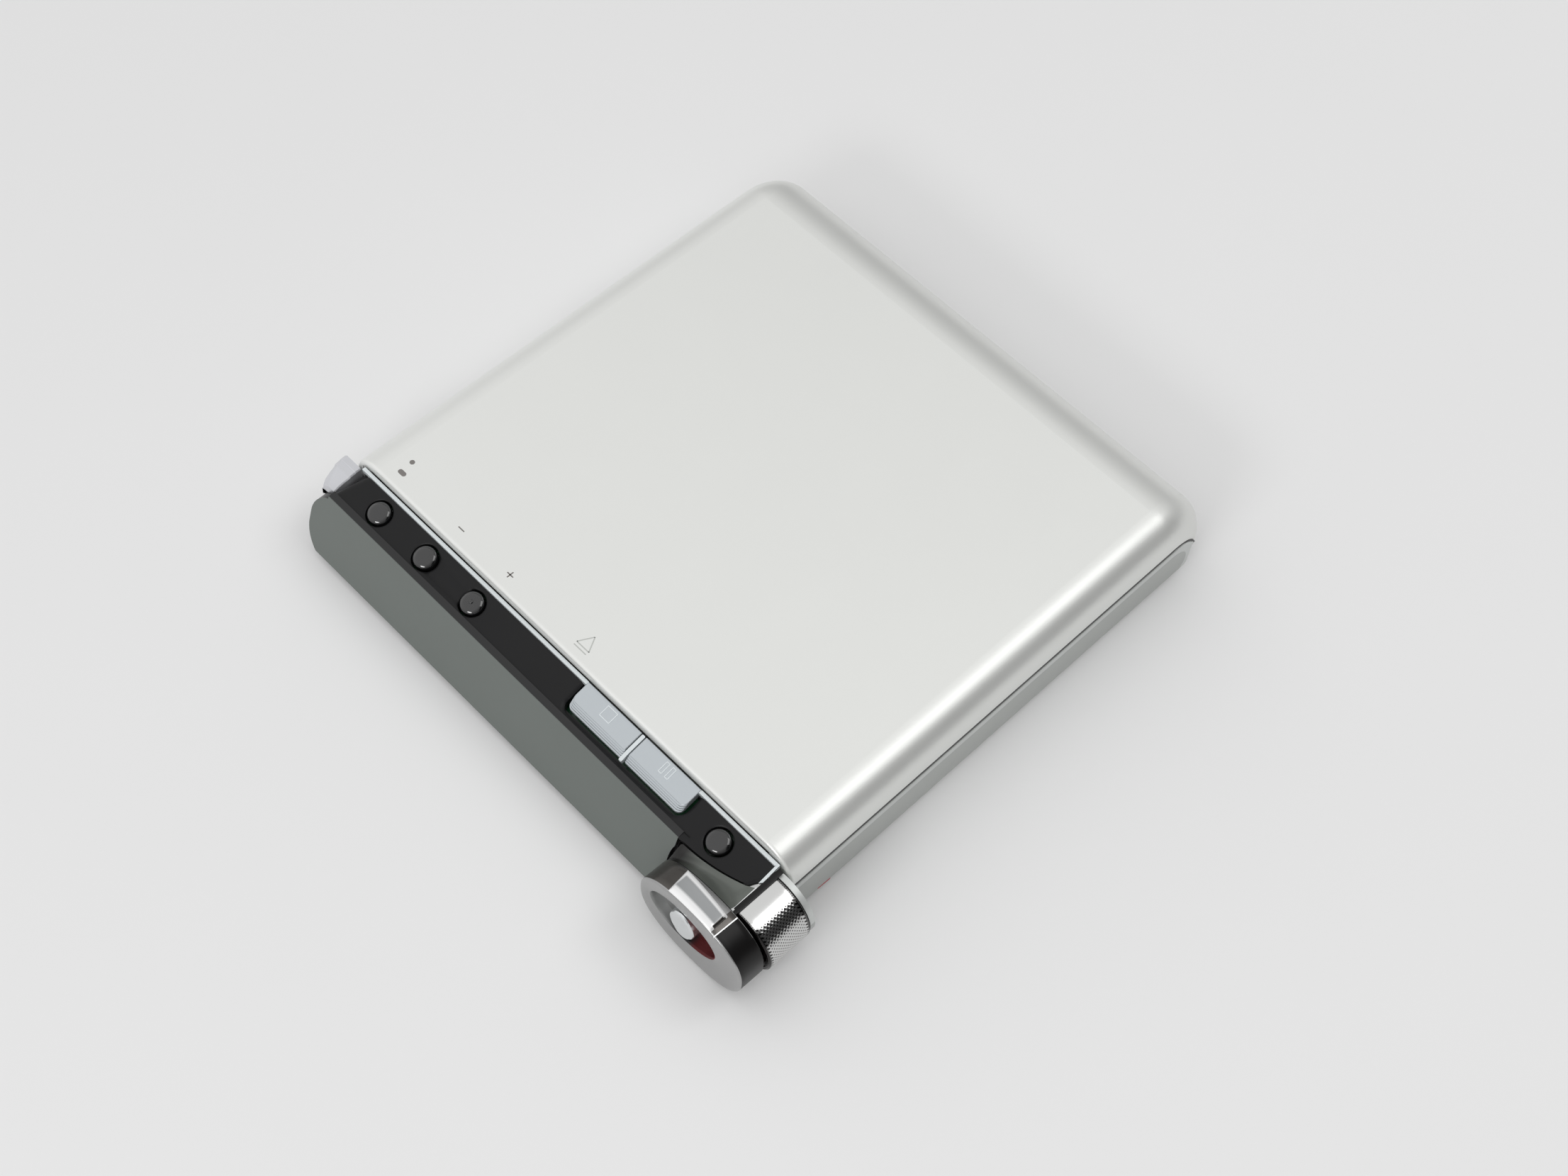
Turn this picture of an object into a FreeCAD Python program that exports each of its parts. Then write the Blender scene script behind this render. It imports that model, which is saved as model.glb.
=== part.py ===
import FreeCAD, Part
import Sketcher
import os
import re

# Slim portable minidisc recorder: a lower case, a lid on a rear hinge and a button bar along the front.
# Millimetres. X runs along the bar, Y from the bar to the hinge, Z up, origin under the case.
os.makedirs("parts", exist_ok=True)
doc = FreeCAD.newDocument("DiscRecorder")
Vector = FreeCAD.Vector

driving = {
    # lower case
    "cheekThick": 3.15,
    "caseFront": -34.6,
    "partHigh": 9.3,
    "sideWall": 1.1,
    "frontWall": 1.1,
    "floorThick": 1.2,
    "caseEdge": 0.5,
    "footRound": 1.8,
    "caseCorner": 1.2,
    "tongueRear": 41.1,
    "tongueRound": 5.7,
    "tongueFoot": 3.0,
    "tailWall": 2.5,
    "tailFront": 28.3,
    "cutOver": 1.0,
    # lid
    "lidFront": -34.8,
    "lidRear": 44.3,
    "lidRearRoll": 9.6,
    "lidInset": 0.1,
    "lidInsetLeft": 0.75,
    "lidWall": 1.0,
    "lidRoof": 0.75,
    "lidRoll": 4.7,
    "lidLip": 0.5,
    "lidSkirtGap": 0.25,
    "lidLipHigh": 1.4,
    "spineLow": 4.5,
    "spineSkin": 1.0,
    "tongueGap": 0.3,
    # cartridge and its holder
    "discWide": 72.0,
    "discDeep": 68.0,
    "discThick": 5.0,
    "discSlack": 0.1,
    "holderSheet": 0.2,
    "holderLip": 2.0,
    "holderLift": 0.2,
    "studHigh": 0.35,
    "studRadius": 1.0,
    "studIn": 9.4,
    "studY": 24.0,
    # hinge
    "armGap": 0.4,
    "armThick": 0.8,
    "armSideGap": 0.2,
    "armWide": 4.4,
    "armTop": 12.5,
    "armBoss": 2.3,
    "armSlotLow": 4.2,
    "pinRadius": 0.8,
    "pinFit": 0.06,
    "pinHold": 0.03,
    "pinDepth": 2.0,
    "rivetRadius": 0.7,
    "rivetHigh": 10.2,
    "springCoil": 1.7,
    "springBore": 1.0,
    "springLong": 2.4,
    "springWire": 0.4,
    # chassis and posts
    "bayHigh": 5.8,
    "chassisThick": 0.5,
    "chassisInset": 0.2,
    "chassisFrontGap": 0.4,
    "chassisRear": 33.9,
    "postRadius": 1.6,
    "postLeftIn": 16.45,
    "postRightIn": 9.95,
    "postFrontGap": 2.5,
    "postRearIn": 10.95,
    "postRearY": 31.4,
    "bushHigh": 0.4,
    "bushRim": 0.3,
    "screwShank": 0.55,
    "screwHole": 0.62,
    "screwHead": 1.2,
    "screwHeadHigh": 0.35,
    "chassisScrewLong": 2.4,
    "caseScrewLong": 3.2,
    "headSink": 0.2,
    "headRoom": 0.15,
    # disc drive
    "motorRadius": 10.0,
    "motorHigh": 3.3,
    "shaftRadius": 0.75,
    "shaftFit": 0.05,
    "shaftLong": 3.0,
    "spindleHole": 2.0,
    "tableRadius": 7.0,
    "tableGap": 0.25,
    "tableThick": 0.5,
    "hubRadius": 3.2,
    "hubHigh": 0.3,
    "sledGap": 2.0,
    "sledLong": 9.0,
    "sledHigh": 2.9,
    "sledDrop": 0.4,
    "sledReach": 10.3,
    "sledArm": 14.2,
    "rodSpread": 8.5,
    "rodRadius": 0.75,
    "rodReach": 1.8,
    "rodFree": 0.3,
    "clampWide": 1.0,
    "clampHalf": 1.2,
    "lensRadius": 2.0,
    "lensHigh": 1.2,
    "lensWindow": 0.9,
    "screwLine": 12.6,
    "leadRadius": 0.75,
    "journalRadius": 0.5,
    "sledMotorRadius": 1.8,
    "sledMotorLong": 8.6,
    "headLong": 4.0,
    "headHalf": 2.5,
    "headDeep": 0.55,
    "headTopGap": 0.1,
    "headSlotGap": 1.4,
    # power
    "batterySideGap": 1.15,
    "batteryMotorGap": 0.5,
    "batteryFront": -9.0,
    "batteryDeep": 36.0,
    "batteryHigh": 5.0,
    "batteryGap": 0.4,
    "coverThick": 0.6,
    "coverEdge": 2.6,
    "coverGap": 0.1,
    "coverRearGap": 1.2,
    "coverLift": 0.3,
    "contactDeep": 1.5,
    "contactHigh": 3.4,
    "contactInset": 3.0,
    # boards
    "boardLift": 0.3,
    "boardThick": 0.6,
    "boardGap": 0.7,
    "boardIn": 1.35,
    "boardFront": -28.0,
    "boardRear": 27.5,
    "chipHigh": 1.1,
    "chipSize": 9.0,
    "chipRow": 21.0,
    "memoryWide": 12.0,
    "memoryDeep": 6.0,
    # sockets on the left side
    "jackRadius": 2.4,
    "jackBore": 1.78,
    "jackDeep": 11.0,
    "jackLong": 12.0,
    "jackFit": 0.05,
    "jackFirstIn": 5.6,
    "jackPitch": 7.5,
    "jackInset": 0.1,
    "sideBoardWide": 4.7,
    "sideBoardWall": 0.25,
    "usbMiddle": 10.0,
    "usbWide": 7.2,
    "usbHigh": 3.6,
    "usbShell": 0.35,
    "usbDeep": 4.6,
    "usbFit": 0.15,
    "usbTongue": 0.7,
    "holdMiddle": 22.0,
    "holdKnob": 2.4,
    "holdTravel": 1.0,
    "holdHigh": 1.4,
    "holdLow": 3.9,
    "holdProud": 0.3,
    "holdFlange": 0.5,
    "holdGap": 0.1,
    "holdBaseDeep": 1.9,
    # button bar
    "barGap": 0.4,
    "barRightIn": 2.05,
    "browLine": -40.8,
    "browHigh": 11.3,
    "stripTilt": 14.93,
    "chinLine": -44.0,
    "chinHigh": 1.2,
    "chinCut": 0.6,
    "barLow": 0.3,
    "barEndTop": 4.6,
    "barEndFoot": 4.9,
    "wedgeIn": 2.65,
    "barWall": 0.9,
    "barShell": 0.5,
    "barLeftWall": 0.8,
    "glassThick": 0.9,
    "glassGap": 0.35,
    "trimWide": 0.5,
    "trimDeep": 0.5,
    "trimProud": 0.06,
    "trimIn": 3.15,
    "endTrimThick": 0.35,
    "bossRadius": 1.2,
    "bossLeftIn": 5.15,
    "bossRightIn": 1.9,
    "bossHigh": 6.0,
    "barScrewLong": 3.4,
    "moduleGap": 0.5,
    "moduleThick": 1.2,
    "moduleLeftIn": 7.45,
    "moduleRightIn": 4.2,
    "moduleLow": 2.3,
    "moduleHigh": 7.8,
    "keyBoardDrop": 2.6,
    "keyBoardThick": 0.6,
    "keyBoardLeftIn": 5.95,
    "keyBoardRightOut": 2.36,
    "keyBoardNear": 0.9,
    "keyBoardFar": 5.1,
    "switchHigh": 0.75,
    "switchSize": 1.6,
    # round buttons
    "capRadius": 1.65,
    "capHole": 1.87,
    "capProud": 0.4,
    "capDome": 6.0,
    "flangeRadius": 2.3,
    "flangeThick": 0.35,
    "flangeGap": 0.1,
    "capUp": 3.0,
    "displayKeyIn": 9.15,
    "minusKeyIn": 18.39,
    "plusKeyIn": 27.56,
    "markKeyIn": 9.51,
    # stop and pause keys
    "recessIn": 14.95,
    "keyWide": 9.65,
    "keySide": 0.5,
    "keySplit": 0.8,
    "keyProud": 0.15,
    "keyStep": 0.22,
    "keyTread": 0.26,
    "keyFlat": 2.9,
    "keyBack": 0.15,
    "recessNear": 1.65,
    "keyFlange": 0.3,
    # jog end
    "ringIn": 4.65,
    "ringZ": 7.1,
    "ringHalfWide": 8.7,
    "ringHalfHigh": 6.8,
    "ringRound": 6.3,
    "ringFace": -47.0,
    "ringRear": -43.1,
    "ringEdge": 0.35,
    "ringTravel": 1.2,
    "ringGap": 0.2,
    "dishSide": 1.5,
    "dishWide": 11.0,
    "dishHigh": 6.8,
    "dishRound": 3.3,
    "dishDeep": 1.8,
    "jogSide": 1.3,
    "jogZ": 7.1,
    "jogRadius": 2.1,
    "jogFit": 0.1,
    "jogProud": 1.7,
    "jogFlange": 2.75,
    "jogFlangeThick": 0.5,
    "jogRoom": 0.3,
    "keelSide": 4.9,
    "keelHalf": 1.5,
    "keelHigh": 1.6,
    "keelLong": 2.0,
    "keelGap": 0.1,
    "housingInset": 0.3,
    "housingRound": 5.8,
    "housingTop": 12.6,
    "housingDrop": 8.2,
    "housingRear": -36.2,
    "hoodIn": 0.3,
    "seamIn": 12.55,
    "seamY": -13.3,
    "seamRound": 27.5,
    "seamGap": 0.1,
    "scoopY": -41.5,
    "scoopRound": 2.2,
    "scoopLow": 11.7,
    # record level dial
    "dialIn": 0.65,
    "dialZ": 6.9,
    "dialRadius": 5.3,
    "dialFront": -42.75,
    "dialRear": -36.0,
    "dialRoom": 0.15,
    "axleRadius": 1.5,
    "axleFit": 0.05,
    "bracketThick": 0.8,
    "bracketGap": 0.1,
    "bracketRadius": 5.1,
    "bracketReach": 7.3,
    "bracketHalf": 2.2,
    # open lever and latch
    "leverOut": 1.25,
    "leverIn": 1.75,
    "leverFront": -39.6,
    "leverLow": 8.3,
    "leverHigh": 3.3,
    "leverTravel": 0.6,
    "leverGap": 0.15,
    "leverBevel": 0.7,
    "fingerIn": 1.25,
    "fingerWide": 0.7,
    "fingerHigh": 0.8,
    "fingerRear": -31.0,
    "hookThick": 0.35,
    "hookDeep": 2.2,
    "hookFront": -33.0,
    "hookLow": 7.3,
    "springLeafLong": 2.2,
    # flex cable
    "flexLeft": 0.5,
    "flexWide": 9.0,
    "flexHigh": 2.8,
    "flexThick": 0.2,
    "flexSlot": 0.3,
    "flexGrip": 1.6,
}

sheet = doc.addObject("Spreadsheet::Sheet", "sizes")
for row, (alias, value) in enumerate(driving.items(), 1):
    sheet.set(f"A{row}", str(value))
    sheet.setAlias(f"A{row}", alias)
doc.recompute()


# Sizes and places that follow from the driving ones. Places near an end are counted from that side wall.
derived = {
    "holderInside": "discWide / 2 + 2 * discSlack",
    "holderOutside": "holderInside + holderSheet",
    "armIn": "holderOutside + armGap",
    "armOut": "armIn + armThick",
    "cheekInside": "armOut + armSideGap",
    "caseSide": "cheekInside + cheekThick",
    "caseInside": "caseSide - sideWall",
    "frontInside": "caseFront + frontWall",
    "hingeY": "tongueRear - tongueRound",
    "hingeZ": "partHigh - tongueRound",
    "tailRear": "tongueRear - tailWall",
    "chassisLow": "floorThick + bayHigh",
    "chassisTop": "chassisLow + chassisThick",
    "lipLow": "chassisTop + holderLift",
    "lipTop": "lipLow + holderSheet",
    "holderUnder": "lipTop + discThick + discSlack",
    "holderTop": "holderUnder + holderSheet",
    "roofUnder": "holderTop + studHigh",
    "caseHigh": "roofUnder + lidRoof",
    "postFront": "frontInside + postFrontGap",
    "bushLow": "chassisLow - bushHigh",
    "jackFirst": "caseFront + jackFirstIn",
    "jackLast": "jackFirst + 2 * jackPitch",
    "jackZ": "floorThick + boardLift + boardThick + jackRadius",
    "sideBoardTop": "floorThick + boardLift + boardThick",
    "batteryRight": "-motorRadius - batteryMotorGap",
    "batteryRear": "batteryFront + batteryDeep",
    "coverRight": "batteryRight + coverEdge",
    "coverFront": "batteryFront - coverEdge",
    "coverRear": "batteryRear + coverRearGap",
    "barRear": "lidFront - trimDeep * barGap",
    "barTop": "browHigh + (barRear - browLine) * tan(stripTilt)",
    "flexRight": "flexLeft + flexWide",
    "above": "partHigh + cutOver",
    "coverTop": "coverThick + coverGap",
    "batteryLow": "coverThick + coverLift",
    "contactRear": "batteryFront - batteryGap - coverGap",
    "boardLow": "floorThick + boardLift",
    "boardTop": "boardLow + boardThick",
    "boardLeft": "batteryRight + boardGap",
    "sideBoardLeft": "-caseInside + sideBoardWall",
    "holdPlate": "-caseInside + holdGap",
    "sledMiddle": "sledStart + sledLong / 2",
    "shaftLow": "chassisTop + tableGap - shaftLong",
    "tableLow": "chassisTop + tableGap",
    "sledTop": "chassisLow - sledDrop",
    "sledLow": "sledTop - sledHigh",
    "rodZ": "sledLow + sledHigh / 2",
    "sledEnd": "sledStart + sledLong",
    "rodRight": "chassisSide - clampWide",
    "screwLeft": "rodLeft + clampWide + journalRadius",
    "motorRight": "screwLeft - shaftFit",
    "lidRight": "caseSide - lidInset",
    "lidLeft": "lidInsetLeft - caseSide",
    "skirtLow": "partHigh + lidSkirtGap",
    "hollowRear": "hingeY + tongueRound + tongueGap + spineSkin",
    "hollowRoll": "hollowRear - hingeY + lidWall",
    "holderFront": "frontInside + discSlack",
    "holderRear": "holderFront + discDeep",
    "hookLeft": "fingerLeft + fingerWide + leverTravel + leverGap",
    "faceSlope": "(browLine - chinLine) / (browHigh - chinHigh)",
    "stripRear": "(barRear - browLine) / cos(stripTilt)",
    "keyLeft": "pauseLeft - keySplit - keyWide",
    "pauseLeft": "recessRight - keySide - keyWide",
    "recessRight": "caseSide - recessIn",
    "bossFront": "browLine + cutOver",
    "flangeTop": "-barWall - flangeGap",
    "flangeFront": "ringFace + dishDeep + jogRoom",
    "housingFront": "ringRear + ringGap",
    "bracketFront": "dialRear + bracketGap",
    "leafLeft": "wedgeLeft + barLeftWall",
    "moduleNear": "glassThick + barShell + coverGap",
    "flexFront": "chinLine + (flexHigh - chinHigh) * faceSlope + moduleNear + moduleThick",
    "wedgeLeft": "wedgeIn - caseSide",
    "trimLeft": "trimIn - caseSide",
    "bossLeft": "bossLeftIn - caseSide",
    "moduleLeft": "moduleLeftIn - caseSide",
    "keyBoardLeft": "keyBoardLeftIn - caseSide",
    "displayKeyX": "displayKeyIn - caseSide",
    "minusKeyX": "minusKeyIn - caseSide",
    "plusKeyX": "plusKeyIn - caseSide",
    "markKeyX": "caseSide - markKeyIn",
    "barRight": "caseSide - barRightIn",
    "ringX": "caseSide - ringIn",
    "dialX": "caseSide - dialIn",
    "seamX": "caseSide - seamIn",
    "boardRight": "caseInside - boardIn",
    "ringLeft": "ringX - ringHalfWide",
    "bossRight": "ringLeft - bossRightIn",
    "moduleRight": "ringLeft - moduleRightIn",
    "keyBoardRight": "markKeyX + keyBoardRightOut",
    "recessLeft": "keyLeft - keySide",
    "dishX": "ringX - dishSide",
    "jogX": "ringX - jogSide",
    "keelX": "ringX - keelSide",
    "hoodRight": "barRight - hoodIn",
    "bracketLeft": "dialX - bracketReach",
    "leverRight": "leverIn - caseSide",
    "fingerLeft": "fingerIn - caseSide",
    "sledStart": "motorRadius + sledGap",
    "chassisSide": "holderOutside - chassisInset",
    "sledTravel": "rodRight - rodFree - sledEnd",
    "rodLeft": "motorRadius - rodReach",
    "batteryLeft": "sideBoardWide + batterySideGap - caseInside",
    "postFrontLeft": "postLeftIn - caseSide",
    "postFrontRight": "caseSide - postRightIn",
    "postRearX": "caseSide - postRearIn",
    "studX": "holderOutside - studIn",
}


# An expression with each derived name spelled out in driving ones.
def spell(text):
    return re.sub(r"[A-Za-z_]\w*", lambda m: f"({spell(derived[m.group()])})"
                  if m.group() in derived else m.group(), text)


# The same expression as the document's other objects read it.
def link(text):
    return re.sub(r"[A-Za-z_]\w*", lambda m: "sizes." + m.group() if m.group() in driving else m.group(),
                  spell(text))


# The present value of an expression, for the starting places of sketch lines and for picking edges.
def num(text):
    found = sheet.evalExpression(spell(text))
    return float(getattr(found, "Value", found))


# The span of a size centred on a place.
def about(centre, half):
    return (f"({centre}) - ({half})", f"({centre}) + ({half})")


# A span given as distances from the middle plane, on the left (-1) or the right (1).
def onSide(side, near, far):
    return (near, far) if side > 0 else (f"-({far})", f"-({near})")


def block(name, xSpan, ySpan, zSpan):
    box = doc.addObject("Part::Box", name)
    for size, axis, (low, high) in zip(("Length", "Width", "Height"), "xyz", (xSpan, ySpan, zSpan)):
        box.setExpression(size, link(f"({high}) - ({low})"))
        box.setExpression(f"Placement.Base.{axis}", link(low))
    return box


facing = {
    "x": FreeCAD.Rotation(Vector(0, 1, 0), 90),
    "y": FreeCAD.Rotation(Vector(1, 0, 0), -90),
    "z": FreeCAD.Rotation(),
}


# A cylinder along one axis: the centre gives the two other coordinates in x, y, z order.
def rod(name, axis, centre, span, radius):
    pin = doc.addObject("Part::Cylinder", name)
    pin.Placement.Rotation = facing[axis]
    low, high = span
    pin.setExpression("Radius", link(radius))
    pin.setExpression("Height", link(f"({high}) - ({low})"))
    places = dict(zip([other for other in "xyz" if other != axis], centre))
    places[axis] = low
    for other, place in places.items():
        pin.setExpression(f"Placement.Base.{other}", link(place))
    return pin


def fuse(name, solids):
    joined = doc.addObject("Part::MultiFuse", name)
    joined.Shapes = solids
    return joined


def carve(name, base, tools):
    result = doc.addObject("Part::Cut", name)
    result.Base = base
    result.Tool = tools[0] if len(tools) == 1 else fuse(name + "Tools", tools)
    return result


def meet(name, first, second):
    result = doc.addObject("Part::Common", name)
    result.Base = first
    result.Tool = second
    return result


def gather(name, solids):
    bunch = doc.addObject("Part::Compound", name)
    bunch.Links = solids
    return bunch


# A closed outline of straight lines on one origin plane, padded over a span of the third axis.
def prism(name, plane, points, span):
    body = doc.addObject("PartDesign::Body", name)
    sketch = body.newObject("Sketcher::SketchObject", name + "Sketch")
    datum = [part for part in body.Origin.OriginFeatures if part.Role == plane + "_Plane"][0]
    sketch.AttachmentSupport = (datum, [""])
    sketch.MapMode = "FlatFace"
    spots = [Vector(num(first), num(second), 0) for first, second in points]
    for place, spot in enumerate(spots):
        sketch.addGeometry(Part.LineSegment(spot, spots[(place + 1) % len(spots)]), False)
    for place in range(len(spots)):
        sketch.addConstraint(Sketcher.Constraint("Coincident", place, 2, (place + 1) % len(spots), 1))
    for place, point in enumerate(points):
        for kind, text in zip(("DistanceX", "DistanceY"), point):
            number = sketch.addConstraint(Sketcher.Constraint(kind, -1, 1, place, 1, num(text)))
            sketch.setExpression(f"Constraints[{number}]", link(text))
    low, high = span
    sketch.setExpression("AttachmentOffset.Base.z", link(f"-({high})" if plane == "XZ" else low))
    pad = body.newObject("PartDesign::Pad", name + "Pad")
    pad.Profile = sketch
    pad.setExpression("Length", link(f"({high}) - ({low})"))
    doc.recompute()
    return body


def panel(name, plane, firstSpan, secondSpan, span):
    (left, right), (low, high) = firstSpan, secondSpan
    return prism(name, plane, [(left, low), (right, low), (right, high), (left, high)], span)


# True for an edge whose two ends both lie at the given coordinates.
def lies(edge, **places):
    nearEnough = 1e-4
    ends = [corner.Point for corner in edge.Vertexes]
    return all(abs(getattr(end, axis) - num(text)) < nearEnough for end in ends for axis,
               text in places.items())


def soften(body, kind, name, size, places, spared=()):
    base = body.Tip
    picked = [f"Edge{number}" for number, edge in enumerate(base.Shape.Edges, 1)
              if any(lies(edge, **place) for place in places)
              and not any(lies(edge, **place) for place in spared)]
    feature = body.newObject("PartDesign::" + kind, name)
    feature.Base = (base, picked)
    feature.setExpression("Radius" if kind == "Fillet" else "Size", link(size))
    doc.recompute()
    return feature


posts = [("postFrontLeft", "postFront"), ("postFrontRight", "postFront"), ("-postRearX", "postRearY"),
         ("postRearX", "postRearY")]
jackPlaces = ["jackFirst", "jackFirst + jackPitch", "jackLast"]
leverZ = ("leverLow", "leverLow + leverHigh")

nodes = []

# ---- lower case ----
caseBlock = panel("caseBlock", "YZ", ("caseFront", "tongueRear"), ("0", "partHigh"), about("0", "caseSide"))
soften(caseBlock, "Fillet", "tongueFillet", "tongueRound", [{"y": "tongueRear", "z": "partHigh"}])
soften(caseBlock, "Fillet", "footFillet", "tongueFoot", [{"y": "tongueRear", "z": "0"}])
casePlan = panel("casePlan", "XY", about("0", "caseSide"), ("caseFront", "tongueRear"), ("0", "partHigh"))
soften(casePlan, "Fillet", "planFillet", "caseCorner",
       [{"x": "caseSide", "y": "tongueRear"}, {"x": "-caseSide", "y": "tongueRear"}])
soften(casePlan, "Fillet", "sideFootFillet", "footRound",
       [{"x": "caseSide", "z": "0"}, {"x": "-caseSide", "z": "0"}])
soften(casePlan, "Chamfer", "sideEdgeChamfer", "caseEdge",
       [{"x": "caseSide", "z": "partHigh"}, {"x": "-caseSide", "z": "partHigh"}])
caseOuter = meet("caseOuter", caseBlock, casePlan)

caseCuts = [
    block("mainCavity", about("0", "caseInside"), ("frontInside", "tailFront"), ("floorThick", "above")),
    block("tailCavity", about("0", "cheekInside"), ("tailFront - cutOver", "tailRear"),
          ("floorThick", "above")),
    block("tailTop", about("0", "cheekInside"), ("tailFront - cutOver", "tongueRear + cutOver"),
          ("chassisLow", "above")),
    block("batteryWindow", ("batteryLeft - batteryGap", "batteryRight + batteryGap"),
          ("batteryFront - batteryGap", "batteryRear + batteryGap"), ("-cutOver", "floorThick + cutOver")),
    block("coverRebate", ("-caseSide - cutOver", "coverRight + coverGap"),
          ("coverFront - coverGap", "coverRear + coverGap"), ("-cutOver", "coverTop")),
    block("usbHole", ("-caseSide - cutOver", "-caseInside + cutOver"),
          about("usbMiddle", "usbWide / 2 + usbFit"),
          ("sideBoardTop - usbFit", "sideBoardTop + usbHigh + usbFit")),
    block("holdHole", ("-caseSide - cutOver", "-caseInside + cutOver"),
          about("holdMiddle", "holdKnob / 2 + holdTravel + holdGap"),
          ("holdLow - holdGap", "holdLow + holdHigh + holdGap")),
    block("fingerSlot", ("fingerLeft - leverGap", "fingerLeft + fingerWide + leverTravel + leverGap"),
          ("caseFront - cutOver", "frontInside + cutOver"), ("leverLow - leverGap", "above")),
    block("flexSlotHole", ("flexLeft - flexSlot", "flexRight + flexSlot"),
          ("caseFront - cutOver", "frontInside + cutOver"),
          ("flexHigh - flexSlot", "flexHigh + flexThick + flexSlot")),
]
for side in (-1, 1):
    caseCuts.append(block(f"armSlot{side + 1}", onSide(side, "armIn - armSideGap", "cheekInside"),
                          ("tailFront", "tongueRear + cutOver"), ("armSlotLow", "above")))
    caseCuts.append(rod(f"cheekHole{side + 1}", "x", ("hingeY", "hingeZ"),
                        onSide(side, "cheekInside - cutOver", "cheekInside + pinDepth"),
                        "pinRadius + pinHold"))
for number, place in enumerate(jackPlaces):
    caseCuts.append(rod(f"jackHole{number}", "x", (place, "jackZ"),
                        ("-caseSide - cutOver", "-caseInside + cutOver"),
                        "jackRadius + jackFit"))
for number, place in enumerate(("bossLeft", "bossRight")):
    caseCuts.append(rod(f"barScrewHole{number}", "y", (place, "bossHigh"),
                        ("caseFront - cutOver", "frontInside + cutOver"), "screwHole"))
caseShell = carve("caseShell", caseOuter, caseCuts)
postSolids = [rod(f"post{number}", "z", place, ("caseEdge", "bushLow"), "postRadius") for number,
              place in enumerate(posts)]
caseWithPosts = fuse("caseWithPosts", [caseShell] + postSolids)
postCuts = [rod(f"postBore{number}", "z", place, ("-cutOver", "above"), "screwHole") for number,
            place in enumerate(posts)]
postCuts += [rod(f"headHole{number}", "z", place, ("-cutOver", "headSink + screwHeadHigh"),
                 "screwHead + headRoom")
             for number, place in enumerate(posts)]
nodes.append(carve("lower_case", caseWithPosts, postCuts))

nodes.append(gather("case_screws", [
    fuse(f"caseScrew{number}", [
        rod(f"caseScrewHead{number}", "z", place, ("headSink", "headSink + screwHeadHigh"), "screwHead"),
        rod(f"caseScrewShank{number}", "z", place, ("headSink", "headSink + caseScrewLong"), "screwShank"),
    ]) for number, place in enumerate(posts)
]))

# ---- battery and its sliding cover ----
coverBlock = block("coverBlock", ("-caseSide - cutOver", "coverRight"), ("coverFront", "coverRear"),
                   ("-cutOver", "coverThick"))
nodes.append(meet("battery_cover", caseOuter, coverBlock))
batteryCan = panel("battery", "YZ", ("batteryFront", "batteryRear"),
                   ("batteryLow", "batteryLow + batteryHigh"),
                   ("batteryLeft", "batteryRight"))
soften(batteryCan, "Fillet", "batteryFillet", "batteryGap",
       [{"y": "batteryFront", "z": "batteryLow"}, {"y": "batteryFront", "z": "batteryLow + batteryHigh"},
        {"y": "batteryRear", "z": "batteryLow"}, {"y": "batteryRear", "z": "batteryLow + batteryHigh"}])
nodes.append(batteryCan)
nodes.append(block("battery_contacts", ("batteryLeft + 2 * contactInset", "batteryRight - contactInset"),
                   ("contactRear - contactDeep", "contactRear"),
                   ("floorThick", "floorThick + contactHigh")))

# ---- boards ----
nodes.append(block("main_board", ("boardLeft", "boardRight"), ("boardFront", "boardRear"),
                   ("boardLow", "boardTop")))
chipLevel = ("boardTop", "boardTop + chipHigh")
nodes.append(gather("board_chips", [
    block("processorChip", about("memoryWide", "chipSize / 2"), about("chipRow", "chipSize / 2"),
          chipLevel),
    block("memoryChip", about("2 * memoryWide", "memoryWide / 2"), about("-chipRow", "memoryDeep / 2"),
          chipLevel),
    block("flexSocket", ("flexLeft - flexSlot", "flexRight + flexSlot"),
          ("boardFront", "boardFront + flexGrip"), ("boardTop", "flexHigh + flexThick + flexSlot")),
]))
nodes.append(fuse("side_board", [
    block("jackBoard", ("sideBoardLeft", "-caseInside + jackLong"),
          ("jackFirst - jackRadius", "jackLast + jackRadius"), ("boardLow", "sideBoardTop")),
    block("switchBoard", ("sideBoardLeft", "-caseInside + sideBoardWide"),
          ("jackLast", "holdMiddle + holdKnob"), ("boardLow", "sideBoardTop")),
]))

# ---- sockets ----
jackNames = ["headphone_jack", "line_in_jack", "microphone_jack"]
for name, place in zip(jackNames, jackPlaces):
    jackBlock = block(f"{name}Block", ("sideBoardLeft", "-caseInside + jackLong"),
                      about(place, "jackRadius"),
                      about("jackZ", "jackRadius"))
    jackNose = rod(f"{name}Nose", "x", (place, "jackZ"),
                   ("-caseSide + jackInset", "-caseInside + cutOver"), "jackRadius")
    jackHollow = rod(f"{name}Hollow", "x", (place, "jackZ"),
                     ("-caseSide - cutOver", "-caseSide + jackDeep"), "jackBore")
    nodes.append(carve(name, fuse(f"{name}Solid", [jackBlock, jackNose]), [jackHollow]))
usbOuter = block("usbOuter", ("-caseSide + jackInset", "-caseInside + usbDeep"),
                 about("usbMiddle", "usbWide / 2"),
                 ("sideBoardTop", "sideBoardTop + usbHigh"))
usbInner = block("usbInner", ("-caseSide - cutOver", "-caseInside + usbDeep - usbShell"),
                 about("usbMiddle", "usbWide / 2 - usbShell"),
                 ("sideBoardTop + usbShell", "sideBoardTop + usbHigh - usbShell"))
usbBlade = block("usbBlade", ("-caseSide + cutOver", "-caseInside + usbDeep - usbShell"),
                 about("usbMiddle", "usbWide / 2 - 3 * usbShell"),
                 about("sideBoardTop + usbHigh / 2", "usbTongue / 2"))
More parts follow.
